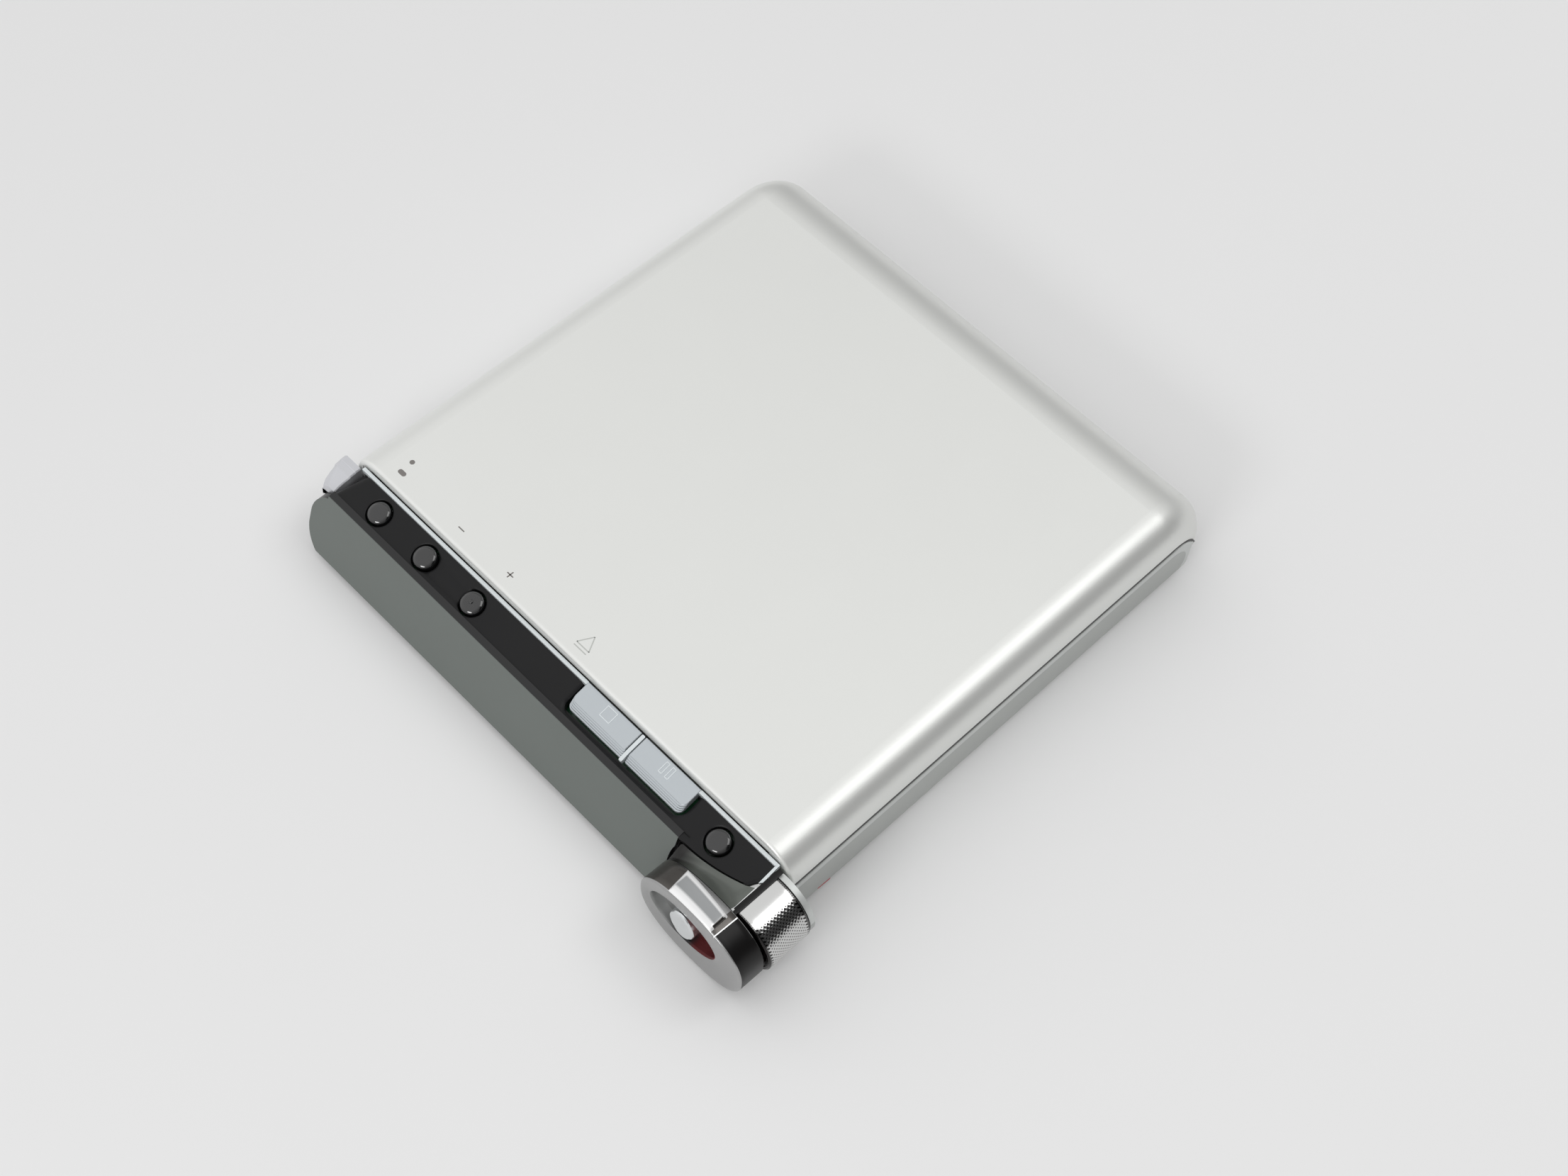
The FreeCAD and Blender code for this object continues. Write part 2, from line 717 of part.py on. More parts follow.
nodes.append(fuse("usb_socket", [carve("usbShellCut", usbOuter, [usbInner]), usbBlade]))

# ---- hold switch ----
nodes.append(fuse("hold_switch", [
    block("holdKnobBlock", ("-caseSide - holdProud", "holdPlate + holdFlange"),
          about("holdMiddle", "holdKnob / 2"),
          ("holdLow", "holdLow + holdHigh")),
    block("holdFlangeBlock", ("holdPlate", "holdPlate + holdFlange"),
          about("holdMiddle", "holdKnob / 2 + holdTravel"),
          ("holdLow - 3 * holdGap", "holdLow + holdHigh + 3 * holdGap")),
]))
nodes.append(block("hold_switch_base", ("holdPlate + holdFlange + holdGap",
                                        "holdPlate + holdFlange + holdGap + holdBaseDeep"),
                   about("holdMiddle", "holdKnob"), ("sideBoardTop", "holdLow + holdHigh")))

# ---- chassis, bushes and screws ----
plateBlank = block("chassisBlank", about("0", "chassisSide"),
                   ("frontInside + chassisFrontGap", "chassisRear"), ("chassisLow", "chassisTop"))
plateCuts = [
    rod("spindleOpening", "z", ("0", "0"), ("chassisLow - cutOver", "chassisTop + cutOver"), "spindleHole"),
    block("lensOpening", ("sledMiddle - lensRadius - lensWindow",
                          "sledMiddle + sledTravel + lensRadius + lensWindow"),
          about("0", "lensRadius + lensWindow"), ("chassisLow - cutOver", "chassisTop + cutOver")),
]
plateCuts += [rod(f"plateHole{number}", "z", place, ("chassisLow - cutOver", "chassisTop + cutOver"),
                  "screwHole")
              for number, place in enumerate(posts)]
nodes.append(carve("chassis_plate", plateBlank, plateCuts))
nodes.append(gather("damper_bushes", [
    carve(f"bush{number}", rod(f"bushOuter{number}", "z", place, ("bushLow", "chassisLow"),
                               "postRadius + bushRim"),
          [rod(f"bushBore{number}", "z", place, ("bushLow - cutOver", "chassisLow + cutOver"),
               "screwHole")])
    for number, place in enumerate(posts)
]))
nodes.append(gather("chassis_screws", [
    fuse(f"chassisScrew{number}", [
        rod(f"chassisScrewHead{number}", "z", place, ("chassisTop", "chassisTop + screwHeadHigh"),
            "screwHead"),
        rod(f"chassisScrewShank{number}", "z", place,
            ("chassisTop - chassisScrewLong", "chassisTop + screwHeadHigh"), "screwShank"),
    ]) for number, place in enumerate(posts)
]))

# ---- spindle motor and turntable ----
nodes.append(carve("spindle_motor",
                   rod("motorCan", "z", ("0", "0"), ("chassisLow - motorHigh", "chassisLow"),
                       "motorRadius"),
                   [rod("motorBore", "z", ("0", "0"), ("shaftLow - shaftFit", "chassisLow + cutOver"),
                        "shaftRadius + shaftFit")]))
nodes.append(fuse("turntable", [
    rod("tableShaft", "z", ("0", "0"), ("shaftLow", "tableLow + tableThick"), "shaftRadius"),
    rod("tableDisc", "z", ("0", "0"), ("tableLow", "tableLow + tableThick"), "tableRadius"),
    rod("tableHub", "z", ("0", "0"), ("tableLow", "tableLow + tableThick + hubHigh"), "hubRadius"),
]))

# ---- pickup on its two rods, driven by the lead screw ----
sledBlank = fuse("sledBlank", [
    block("sledCarriage", ("sledStart", "sledEnd"), about("0", "sledReach"), ("sledLow", "sledTop")),
    block("sledFoot", ("sledStart", "sledEnd"), ("-sledArm", "0"), ("sledLow", "sledTop")),
])
sledCuts = [rod(f"sledBore{side + 1}", "x", (f"{side} * rodSpread", "rodZ"),
                ("sledStart - cutOver", "sledEnd + cutOver"),
                "rodRadius + shaftFit") for side in (-1, 1)]
sledCuts.append(rod("nutBore", "x", ("-screwLine", "rodZ"), ("sledStart - cutOver", "sledEnd + cutOver"),
                    "leadRadius + shaftFit"))
nodes.append(carve("pickup_sled", sledBlank, sledCuts))
nodes.append(rod("pickup_lens", "z", ("sledMiddle", "0"), ("sledTop", "sledTop + lensHigh"), "lensRadius"))
nodes.append(gather("guide_rods", [
    rod(f"guideRod{side + 1}", "x", (f"{side} * rodSpread", "rodZ"), ("rodLeft", "rodRight + clampWide"),
        "rodRadius")
    for side in (-1, 1)
]))
clampSolids = []
for side in (-1, 1):
    for spot, left in (("Left", "rodLeft"), ("Right", "rodRight")):
        clampBlank = block(f"clamp{spot}{side + 1}", (left, f"{left} + clampWide"),
                           about(f"{side} * rodSpread", "clampHalf"), ("sledLow", "chassisLow"))
        clampBore = rod(f"clampBore{spot}{side + 1}", "x", (f"{side} * rodSpread", "rodZ"),
                        (f"{left} - cutOver", f"{left} + clampWide + cutOver"), "rodRadius")
        clampSolids.append(carve(f"rodClamp{spot}{side + 1}", clampBlank, [clampBore]))
nodes.append(gather("rod_clamps", clampSolids))
nodes.append(fuse("lead_screw", [
    rod("screwThread", "x", ("-screwLine", "rodZ"), ("screwLeft", "rodRight - shaftFit"), "leadRadius"),
    rod("screwJournal", "x", ("-screwLine", "rodZ"),
        ("screwLeft - clampWide - clampWide", "rodRight + clampWide"),
        "journalRadius"),
]))
nodes.append(carve("sled_motor",
                   rod("sledMotorCan", "x", ("-screwLine", "rodZ"),
                       ("motorRight - sledMotorLong", "motorRight"), "sledMotorRadius"),
                   [rod("sledMotorBore", "x", ("-screwLine", "rodZ"),
                        ("screwLeft - 2 * clampWide - shaftFit", "motorRight + cutOver"),
                        "journalRadius + shaftFit")]))
nodes.append(carve("screw_bearing",
                   block("bearingBlock", ("rodRight", "rodRight + clampWide"),
                         about("-screwLine", "clampHalf"),
                         ("sledLow", "chassisLow")),
                   [rod("bearingBore", "x", ("-screwLine", "rodZ"),
                        ("rodRight - cutOver", "rodRight + clampWide + cutOver"),
                        "journalRadius + shaftFit")]))

# ---- lid shell ----
lidSpan = ("lidLeft", "lidRight")
hollowSpan = ("lidLeft + lidWall", "lidRight - lidWall")
lidOuter = panel("lidOuter", "YZ", ("lidFront", "lidRear"), ("spineLow", "caseHigh"), lidSpan)
soften(lidOuter, "Fillet", "lidRearFillet", "lidRearRoll", [{"y": "lidRear", "z": "caseHigh"}])
soften(lidOuter, "Fillet", "lidRollFillet", "lidRoll", [{"x": side} for side in lidSpan],
       [{"z": "spineLow"}, {"y": "lidFront"}])
soften(lidOuter, "Fillet", "lidFrontFillet", "lidLip", [{"y": "lidFront", "z": "caseHigh"}])
lidHollow = panel("lidHollow", "YZ", ("lidFront + lidWall", "hollowRear"),
                  ("spineLow - cutOver", "roofUnder"), hollowSpan)
soften(lidHollow, "Fillet", "hollowRearFillet", "hollowRoll", [{"y": "hollowRear", "z": "roofUnder"}])
soften(lidHollow, "Fillet", "hollowRollFillet", "lidRoll - lidWall", [{"x": side} for side in hollowSpan],
       [{"z": "spineLow - cutOver"}, {"y": "lidFront + lidWall"}])
lidWide = ("lidLeft - cutOver", "lidRight + cutOver")
nodes.append(carve("lid_shell", lidOuter, [
    lidHollow,
    block("lidUnderCut", lidWide, ("lidFront - cutOver", "hingeY"), ("spineLow - cutOver", "skirtLow")),
    rod("lidBore", "x", ("hingeY", "hingeZ"), lidWide, "tongueRound + tongueGap"),
    block("discMouth", about("0", "holderOutside + armGap"),
          ("lidFront - cutOver", "lidFront + lidWall + cutOver"),
          ("spineLow - cutOver", "caseHigh - lidLipHigh")),
]))

# ---- disc holder, its studs, the hinge arms and pins ----
holderBlank = block("holderBlank", about("0", "holderOutside"), ("holderFront", "holderRear"),
                    ("lipLow", "holderTop"))
holderCuts = [
    block("discRoom", about("0", "holderInside"), ("holderFront - cutOver", "holderRear + cutOver"),
          ("lipTop", "holderUnder")),
    block("lipRoom", about("0", "holderInside - holderLip"),
          ("holderFront - cutOver", "holderRear + cutOver"),
          ("lipLow - cutOver", "holderUnder")),
    block("headSlot", ("sledMiddle - headLong / 2 - headSlotGap",
                       "sledMiddle + sledTravel + headLong / 2 + headSlotGap"),
          about("0", "headHalf + headSlotGap"), ("holderUnder", "holderTop + cutOver")),
]
nodes.append(carve("disc_holder", holderBlank, holderCuts))
nodes.append(gather("holder_studs", [
    rod(f"holderStud{number}", "z", place, ("holderTop", "roofUnder"), "studRadius")
    for number, place in enumerate([("-studX", "-studY"), ("-studX", "studY"), ("studX", "-studY"),
                                    ("studX", "studY")])
]))
nodes.append(block("record_head", about("sledMiddle", "headLong / 2"), about("0", "headHalf"),
                   ("roofUnder - headTopGap - headDeep", "roofUnder - headTopGap")))
armSolids = []
pinSolids = []
rivetSolids = []
for side in (-1, 1):
    armSpan = onSide(side, "armIn", "armOut")
    armBlank = fuse(f"armBlank{side + 1}", [
        rod(f"armBoss{side + 1}", "x", ("hingeY", "hingeZ"), armSpan, "armBoss"),
        block(f"armBlade{side + 1}", armSpan, about("hingeY", "armWide / 2"), ("hingeZ", "armTop")),
        block(f"armFoot{side + 1}", armSpan, ("holderRear - 2 * armWide", "hingeY + armWide / 2"),
              ("rivetHigh - armWide / 2", "armTop")),
    ])
    armSolids.append(carve(f"hingeArm{side + 1}", armBlank, [
        rod(f"armBore{side + 1}", "x", ("hingeY", "hingeZ"),
            onSide(side, "armIn - cutOver", "armOut + cutOver"),
            "pinRadius + pinFit"),
        rod(f"rivetBore{side + 1}", "x", ("holderRear - armWide", "rivetHigh"),
            onSide(side, "armIn - cutOver", "armOut + cutOver"), "rivetRadius"),
    ]))
    pinSolids.append(rod(f"hingePin{side + 1}", "x", ("hingeY", "hingeZ"),
                         onSide(side, "armIn - armSideGap - springLong",
                                "cheekInside + pinDepth - pinHold"), "pinRadius"))
    rivetSolids.append(rod(f"armRivet{side + 1}", "x", ("holderRear - armWide", "rivetHigh"),
                           onSide(side, "holderOutside", "armOut"), "rivetRadius"))
nodes.append(gather("hinge_arms", armSolids))
nodes.append(gather("hinge_pins", pinSolids))
nodes.append(gather("arm_rivets", rivetSolids))
springSpan = onSide(-1, "armIn - armSideGap - springLong", "armIn - armSideGap")
nodes.append(carve("hinge_spring", fuse("springSolid", [
    rod("springCoilRod", "x", ("hingeY", "hingeZ"), springSpan, "springCoil"),
    block("springLeg", (springSpan[0], f"{springSpan[0]} + springWire"),
          ("hingeY - springCoil", "hingeY - springCoil + springWire"), ("floorThick", "hingeZ")),
]), [rod("springHollow", "x", ("hingeY", "hingeZ"),
         (f"{springSpan[0]} - cutOver", f"{springSpan[1]} + cutOver"), "springBore")]))

# ---- latch: the hook on the lid and the open lever on the case ----
hookBlank = block("hookBlank", ("hookLeft", "hookLeft + hookThick"), ("hookFront", "hookFront + hookDeep"),
                  ("hookLow", "caseHigh"))
nodes.append(meet("lid_hook", hookBlank, lidHollow))
leverTab = panel("leverTab", "XZ", ("-caseSide - leverOut", "leverRight"), leverZ,
                 ("leverFront", "barRear + leverGap / 2"))
soften(leverTab, "Chamfer", "leverBevelCut", "leverBevel",
       [{"x": "-caseSide - leverOut", "z": "leverLow + leverHigh"},
        {"x": "-caseSide - leverOut", "z": "leverLow"},
        {"y": "leverFront", "z": "leverLow + leverHigh"}])
nodes.append(fuse("open_lever", [
    leverTab,
    block("leverFinger", ("fingerLeft", "fingerLeft + fingerWide"), ("leverFront + cutOver", "fingerRear"),
          ("leverLow", "leverLow + fingerHigh")),
]))

# ---- button bar: envelope, window, shell ----
outline = [("barRear", "barTop"), ("browLine", "browHigh"), ("chinLine", "chinHigh"),
           ("chinLine + chinCut", "barLow"), ("barRear", "barLow")]
barProfile = prism("barProfile", "YZ", outline, ("-caseSide", "barRight"))
barEnds = panel("barEnds", "XZ", ("-caseSide", "barRight"), ("barLow", "browHigh + chinCut * trimProud"),
                ("chinLine - cutOver", "barRear"))
soften(barEnds, "Fillet", "barEndTopFillet", "barEndTop",
       [{"x": "-caseSide", "z": "browHigh + chinCut * trimProud"}])
soften(barEnds, "Fillet", "barEndFootFillet", "barEndFoot", [{"x": "-caseSide", "z": "barLow"}])
wedge = panel("wedge", "XZ", ("wedgeLeft", "barRight"), ("leverLow", "barTop + cutOver"),
              ("chinLine - cutOver", "barRear"))
barEnvelope = meet("barEnvelope", barProfile, fuse("barOutline", [barEnds, wedge]))

# A place on the sloping strip: distance up the slope from its front edge, and height above its face.
def stripY(up, out):
    return f"(browLine + ({up}) * cos(stripTilt) - ({out}) * sin(stripTilt))"


def stripZ(up, out):
    return f"(browHigh + ({up}) * sin(stripTilt) + ({out}) * cos(stripTilt))"


# Leans a solid that was built on the strip's own axes and sets it at a place on the strip.
def lean(solid, x, up, out):
    solid.Placement.Rotation = FreeCAD.Rotation(Vector(1, 0, 0), num("stripTilt"))
    solid.setExpression("Placement.Rotation.Angle", link("stripTilt"))
    solid.setExpression("Placement.Base.x", link(x))
    solid.setExpression("Placement.Base.y", link(stripY(up, out)))
    solid.setExpression("Placement.Base.z", link(stripZ(up, out)))
    return solid


def stripRod(name, x, up, outSpan, radius):
    low, high = outSpan
    pin = doc.addObject("Part::Cylinder", name)
    pin.setExpression("Radius", link(radius))
    pin.setExpression("Height", link(f"({high}) - ({low})"))
    return lean(pin, x, up, low)


def stripBlock(name, xSpan, upSpan, outSpan):
    box = doc.addObject("Part::Box", name)
    for size, (low, high) in zip(("Length", "Width", "Height"), (xSpan, upSpan, outSpan)):
        box.setExpression(size, link(f"({high}) - ({low})"))
    return lean(box, xSpan[0], upSpan[0], outSpan[0])


# A slab parallel to the window's face, between two depths behind it and two heights.
def faceSlab(name, nearDepth, farDepth, lowZ, highZ, xSpan):
    def spot(depth, height):
        return (f"chinLine + ({height} - chinHigh) * faceSlope + ({depth})", height)
    return prism(name, "YZ", [spot(nearDepth, lowZ), spot(farDepth, lowZ), spot(farDepth, highZ),
                              spot(nearDepth, highZ)], xSpan)


def ringForm(name, inset, span):
    wide = about("ringX", f"ringHalfWide - ({inset})")
    high = about("ringZ", f"ringHalfHigh - ({inset})")
    form = panel(name, "XZ", wide, high, span)
    soften(form, "Fillet", name + "Round", f"ringRound - ({inset})",
           [{"x": x, "z": z} for x in wide for z in high])
    return form


glassRoom = ringForm("glassRoom", "-glassGap", ("ringFace", "barRear + cutOver"))
glassSlide = ringForm("glassSlide", "-ringTravel - coverGap", ("ringFace", "housingFront"))
glassSlab = faceSlab("glassSlab", "-cutOver", "glassThick", "barLow - cutOver", "barTop + cutOver",
                     ("-caseSide - cutOver", "ringLeft"))
glassFront = meet("glassFront", barEnvelope, glassSlab)
nodes.append(carve("display_glass", glassFront, [glassRoom, glassSlide]))

seamDisc = rod("seamDisc", "z", ("seamX", "seamY"), ("barLow - cutOver", "barTop + cutOver"), "seamRound")
jogRegion = ("ringLeft", "barRight + cutOver")
jogBlock = block("jogBlock", jogRegion, ("ringFace", "barRear"), ("barLow - cutOver", "barTop + cutOver"))
beforeSeam = carve("beforeSeam", jogBlock, [seamDisc])
underRoof = [("barRear + cutOver", "barTop - barWall / cos(stripTilt) + cutOver * tan(stripTilt)"),
             ("browLine + barWall", "browHigh - barWall / cos(stripTilt) + barWall * tan(stripTilt)"),
             ("chinLine + glassThick + barShell + (barLow + barWall - chinHigh) * faceSlope",
              "barLow + barWall"),
             ("barRear + cutOver", "barLow + barWall")]
barHollow = prism("barHollow", "YZ", underRoof, ("wedgeLeft + barLeftWall", "barRight + cutOver"))
jogHollow = prism("jogHollow", "YZ", [
    ("barRear + cutOver", "barTop - barWall / cos(stripTilt) + cutOver * tan(stripTilt)"),
    ("ringFace", "browHigh - barWall / cos(stripTilt) + (ringFace - browLine) * tan(stripTilt)"),
    ("ringFace", "-cutOver"), ("barRear + cutOver", "-cutOver")], jogRegion)
dialRoomRod = rod("dialRoomRod", "y", ("dialX", "dialZ"), ("ringRear", "barRear + cutOver"),
                  "dialRadius + dialRoom")
roundKeys = {"display_button": "displayKeyX", "volume_minus_button": "minusKeyX",
             "volume_plus_button": "plusKeyX", "track_mark_button": "markKeyX"}
boreSpan = ("-barWall - cutOver", "cutOver")
barCuts = [
    faceSlab("glassSeat", "-cutOver", "glassThick", "barLow - cutOver", "barTop + cutOver",
             ("-caseSide - cutOver", "ringLeft + cutOver")),
    beforeSeam, barHollow, jogHollow, dialRoomRod,
    stripBlock("keyRecess", ("recessLeft", "recessRight"), ("recessNear", "stripRear + cutOver"), boreSpan),
    block("leverNotch", ("-caseSide - cutOver", "wedgeLeft"),
          ("leverFront - leverGap - leverGap", "barRear + cutOver"),
          ("leverLow - leverGap", "barTop + cutOver")),
    block("trimSeatLeft", ("trimLeft", "recessLeft + keySide"), ("barRear - trimWide", "barRear + cutOver"),
          ("barTop - trimDeep", "barTop + cutOver")),
    block("trimSeatRight", ("recessRight - keySide", "barRight + cutOver"),
          ("barRear - trimWide", "barRear + cutOver"),
          ("barTop - trimDeep", "barTop + cutOver")),
    block("endTrimSeat", ("barRight - endTrimThick", "barRight + cutOver"),
          ("chinLine", "barRear + cutOver"),
          ("leverLow", "barTop + cutOver")),
]
barCuts += [stripRod(f"{name}Bore", place, "capUp", boreSpan, "capHole") for name,
            place in roundKeys.items()]
moduleRoom = faceSlab("moduleRoom", "glassThick", "glassThick + barShell + moduleGap", "moduleLow",
                      "moduleHigh",
                      ("moduleLeft", "moduleRight"))
barShellCut = carve("barShellCut", barEnvelope, barCuts + [moduleRoom])
bosses = [rod(f"barBoss{number}", "y", (place, "bossHigh"), ("bossFront", "barRear"), "bossRadius")
          for number, place in enumerate(("bossLeft", "bossRight"))]
ribs = [block(f"barRib{number}", about(place, "barShell"), ("browLine - faceSlope", "barRear"),
              ("barLow + barShell", "bossHigh")) for number, place in enumerate(("bossLeft", "bossRight"))]
bossBores = [rod(f"bossBore{number}", "y", (place, "bossHigh"),
                 ("frontInside - barScrewLong - coverGap", "barRear + cutOver"), "screwHole")
             for number, place in enumerate(("bossLeft", "bossRight"))]
nodes.append(carve("front_bar", fuse("barWithBosses", [barShellCut] + bosses + ribs), bossBores))
nodes.append(gather("bar_screws", [
    fuse(f"barScrew{number}", [
        rod(f"barScrewHead{number}", "y", (place, "bossHigh"),
            ("frontInside", "frontInside + screwHeadHigh"), "screwHead"),
        rod(f"barScrewShank{number}", "y", (place, "bossHigh"),
            ("frontInside - barScrewLong", "frontInside + screwHeadHigh"),
            "screwShank"),
    ]) for number, place in enumerate(("bossLeft", "bossRight"))
]))

nodes.append(faceSlab("display_module", "moduleNear",
                      "moduleNear + moduleThick",
                      "moduleLow", "moduleHigh", ("moduleLeft", "moduleRight")))
trimZ = ("barTop - trimDeep", "barTop + trimProud")
trimY = ("barRear - trimWide", "barRear")
nodes.append(block("trim_strip_left", ("trimLeft", "recessLeft + keySide"), trimY, trimZ))
nodes.append(block("trim_strip_right", ("recessRight - keySide", "barRight - endTrimThick"), trimY, trimZ))
endProfile = prism("endProfile", "YZ", [
    ("barRear", "barTop + trimProud"), (stripY("chinCut", "trimProud"), stripZ("chinCut", "trimProud")),
    (stripY("chinCut", "-barWall"), stripZ("chinCut", "-barWall")), ("barRear", "barTop - barWall")],
    ("barRight - endTrimThick", "barRight"))
nodes.append(carve("bar_end_trim", meet("endTrimPlan", endProfile, seamDisc), [dialRoomRod]))

# ---- keys, board and switches under the strip ----
nodes.append(stripBlock("button_board", ("keyBoardLeft", "keyBoardRight"), ("keyBoardNear", "keyBoardFar"),
                        ("-keyBoardDrop - keyBoardThick", "-keyBoardDrop")))
keyMiddles = {"stop": "keyLeft + keyWide / 2", "pause": "pauseLeft + keyWide / 2"}
keyMiddles.update(roundKeys)
nodes.append(gather("button_switches", [
    stripBlock(f"{name}Switch", about(place, "switchSize / 2"), about("capUp", "switchSize / 2"),
               ("-keyBoardDrop", "-keyBoardDrop + switchHigh"))
    for name, place in keyMiddles.items()
]))
for name, place in roundKeys.items():
    capRod = stripRod(f"{name}Cap", place, "capUp", ("flangeTop - flangeThick", "capProud"), "capRadius")
    dome = doc.addObject("Part::Sphere", f"{name}Dome")
    dome.setExpression("Radius", link("capDome"))
    lean(dome, place, "capUp", "capProud - capDome")
    domed = meet(f"{name}Domed", capRod, dome)
    flange = stripRod(f"{name}Flange", place, "capUp", ("flangeTop - flangeThick", "flangeTop"),
                      "flangeRadius")
    nodes.append(fuse(name, [domed, flange]))


# A transport key: a flat top, a stepped front and a flange that stays under the bar's roof.
def stepKey(name, left, flangeLeft, flangeRight):
    def spot(up, out):
        return (stripY(up, out), stripZ(up, out))
    foot = "-barWall - flangeGap - flangeThick"
    points = [spot("stripRear - keyBack", foot), spot("stripRear - keyBack", "keyProud"),
              spot("keyFlat", "keyProud")]
    for step in (1, 2, 3):
        points.append(spot(f"keyFlat - {step - 1} * keyTread", f"keyProud - {step} * keyStep"))
        points.append(spot(f"keyFlat - {step} * keyTread", f"keyProud - {step} * keyStep"))
    points.append(spot("keyFlat - 3 * keyTread", foot))
    cap = prism(name + "Cap", "YZ", points, (left, f"{left} + keyWide"))
    skirt = stripBlock(name + "Skirt", (flangeLeft, flangeRight),
                       ("keyFlat - 3 * keyTread", "stripRear - keyBack"),
                       (foot, "-barWall - flangeGap"))
    return fuse(name, [cap, skirt])


nodes.append(stepKey("stop_button", "keyLeft", "recessLeft - keyFlange", "keyLeft + keyWide + keyFlange"))
nodes.append(stepKey("pause_button", "pauseLeft", "pauseLeft - keyFlange", "recessRight + keyFlange"))

# ---- jog end: ring, centre button, housing ----
ringBlank = ringForm("ringBlank", "0", ("ringFace", "ringRear"))
soften(ringBlank, "Fillet", "ringEdgeFillet", "ringEdge", [{"y": "ringFace"}])
dish = panel("dish", "XZ", about("dishX", "dishWide / 2"), about("ringZ", "dishHigh / 2"),
             ("ringFace - cutOver", "ringFace + dishDeep"))
soften(dish, "Fillet", "dishFillet", "dishRound",
       [{"x": x, "z": z} for x in about("dishX", "dishWide / 2") for z in about("ringZ", "dishHigh / 2")])
keel = block("ringKeel", about("keelX", "keelHalf"), ("ringRear - cutOver", "ringRear + keelLong"),
             about("ringZ", "keelHigh"))
jogHoles = [
    dish,
    rod("jogHole", "y", ("jogX", "jogZ"), ("ringFace", "ringRear + cutOver"), "jogRadius + jogFit"),
    rod("jogFlangeHole", "y", ("jogX", "jogZ"), ("flangeFront - jogFit", "ringRear + cutOver"),
        "jogFlange + jogFit"),
]
nodes.append(fuse("jog_ring", [carve("ringCut", ringBlank, jogHoles),
                               carve("keelCut", keel, [jogHoles[2]])]))
nodes.append(fuse("jog_button", [
    rod("jogCap", "y", ("jogX", "jogZ"), ("ringFace + dishDeep - jogProud",
                                          "flangeFront + jogFlangeThick"), "jogRadius"),
    rod("jogBase", "y", ("jogX", "jogZ"), ("flangeFront", "flangeFront + jogFlangeThick"), "jogFlange"),
]))

housingWide = about("ringX", "ringHalfWide - housingInset")
housingZ = ("ringZ - ringHalfHigh + housingInset", "housingTop")
housingBlank = panel("housingBlank", "XZ", housingWide, housingZ, ("housingFront", "housingRear"))
soften(housingBlank, "Fillet", "housingFillet", "housingRound",
       [{"x": x, "z": z} for x in housingWide for z in housingZ])
scoop = rod("scoop", "x", ("scoopY", "scoopLow + scoopRound"), ("ringLeft", "barRight + cutOver"),
            "scoopRound")
behindSeam = rod("behindSeam", "z", ("seamX", "seamY"), ("housingDrop", "housingTop + cutOver"),
                 "seamRound + seamGap")
keelSlot = block("keelSlot", about("keelX", "keelHalf + ringTravel + keelGap"),
                 ("housingFront - cutOver", "ringRear + keelLong + keelGap"),
                 about("ringZ", "keelHigh + keelGap"))
nodes.append(carve("jog_housing", housingBlank, [
    scoop, behindSeam, keelSlot,
    rod("housingDialRoom", "y", ("dialX", "dialZ"), ("ringRear", "dialRear + cutOver"),
        "dialRadius + dialRoom"),
    block("hoodEnd", ("hoodRight", "ringX + ringHalfWide"), ("ringRear", "dialRear"),
          ("barLow - cutOver", "housingTop + cutOver")),
]))

# ---- record level dial on its axle and bracket ----
dialAxis = ("dialX", "dialZ")
bracketSpan = ("bracketFront", "bracketFront + bracketThick")
nodes.append(carve("record_dial", rod("dialDrum", "y", dialAxis, ("dialFront", "dialRear"), "dialRadius"),
                   [rod("dialBore", "y", dialAxis, ("dialFront + bracketThick", "dialRear + cutOver"),
                        "axleRadius + axleFit")]))
nodes.append(rod("dial_axle", "y", dialAxis, ("dialFront + bracketThick + bracketGap", bracketSpan[1]),
                 "axleRadius"))
nodes.append(carve("dial_bracket", fuse("bracketBlank", [
    rod("bracketDisc", "y", dialAxis, bracketSpan, "bracketRadius"),
    block("bracketArm", ("bracketLeft", "dialX"), bracketSpan, about("dialZ", "bracketHalf")),
]), [rod("bracketHole", "y", dialAxis, ("bracketFront - cutOver", f"{bracketSpan[1]} + cutOver"),
         "axleRadius")]))

# ---- lever spring and the flex cable ----
nodes.append(block("lever_spring", ("leafLeft", "leafLeft + springWire"),
                   about("barRear - springLeafLong", "springLeafLong / 2"),
                   ("leverLow", "leverLow + springWire * 2")))
nodes.append(block("flex_cable", ("flexLeft", "flexRight"), ("flexFront + coverGap", "boardFront"),
                   ("flexHigh", "flexHigh + flexThick")))

# ---- checks and output ----
doc.recompute()
for item in doc.Objects:
    if "Invalid" in item.State or "Error" in item.State:
        raise RuntimeError(f"{item.Label} failed to build")
for node in nodes:
    if node.Shape.isNull() or not node.Shape.isValid() or not node.Shape.Solids:
        raise RuntimeError(f"{node.Label} has no valid shape")
for node in nodes:
    node.Shape.exportStep(f"parts/{node.Label}.step")
print(len(nodes), "pieces written")
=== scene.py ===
import math
import bpy
import bmesh
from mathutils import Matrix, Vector
from mathutils.geometry import delaunay_2d_cdt


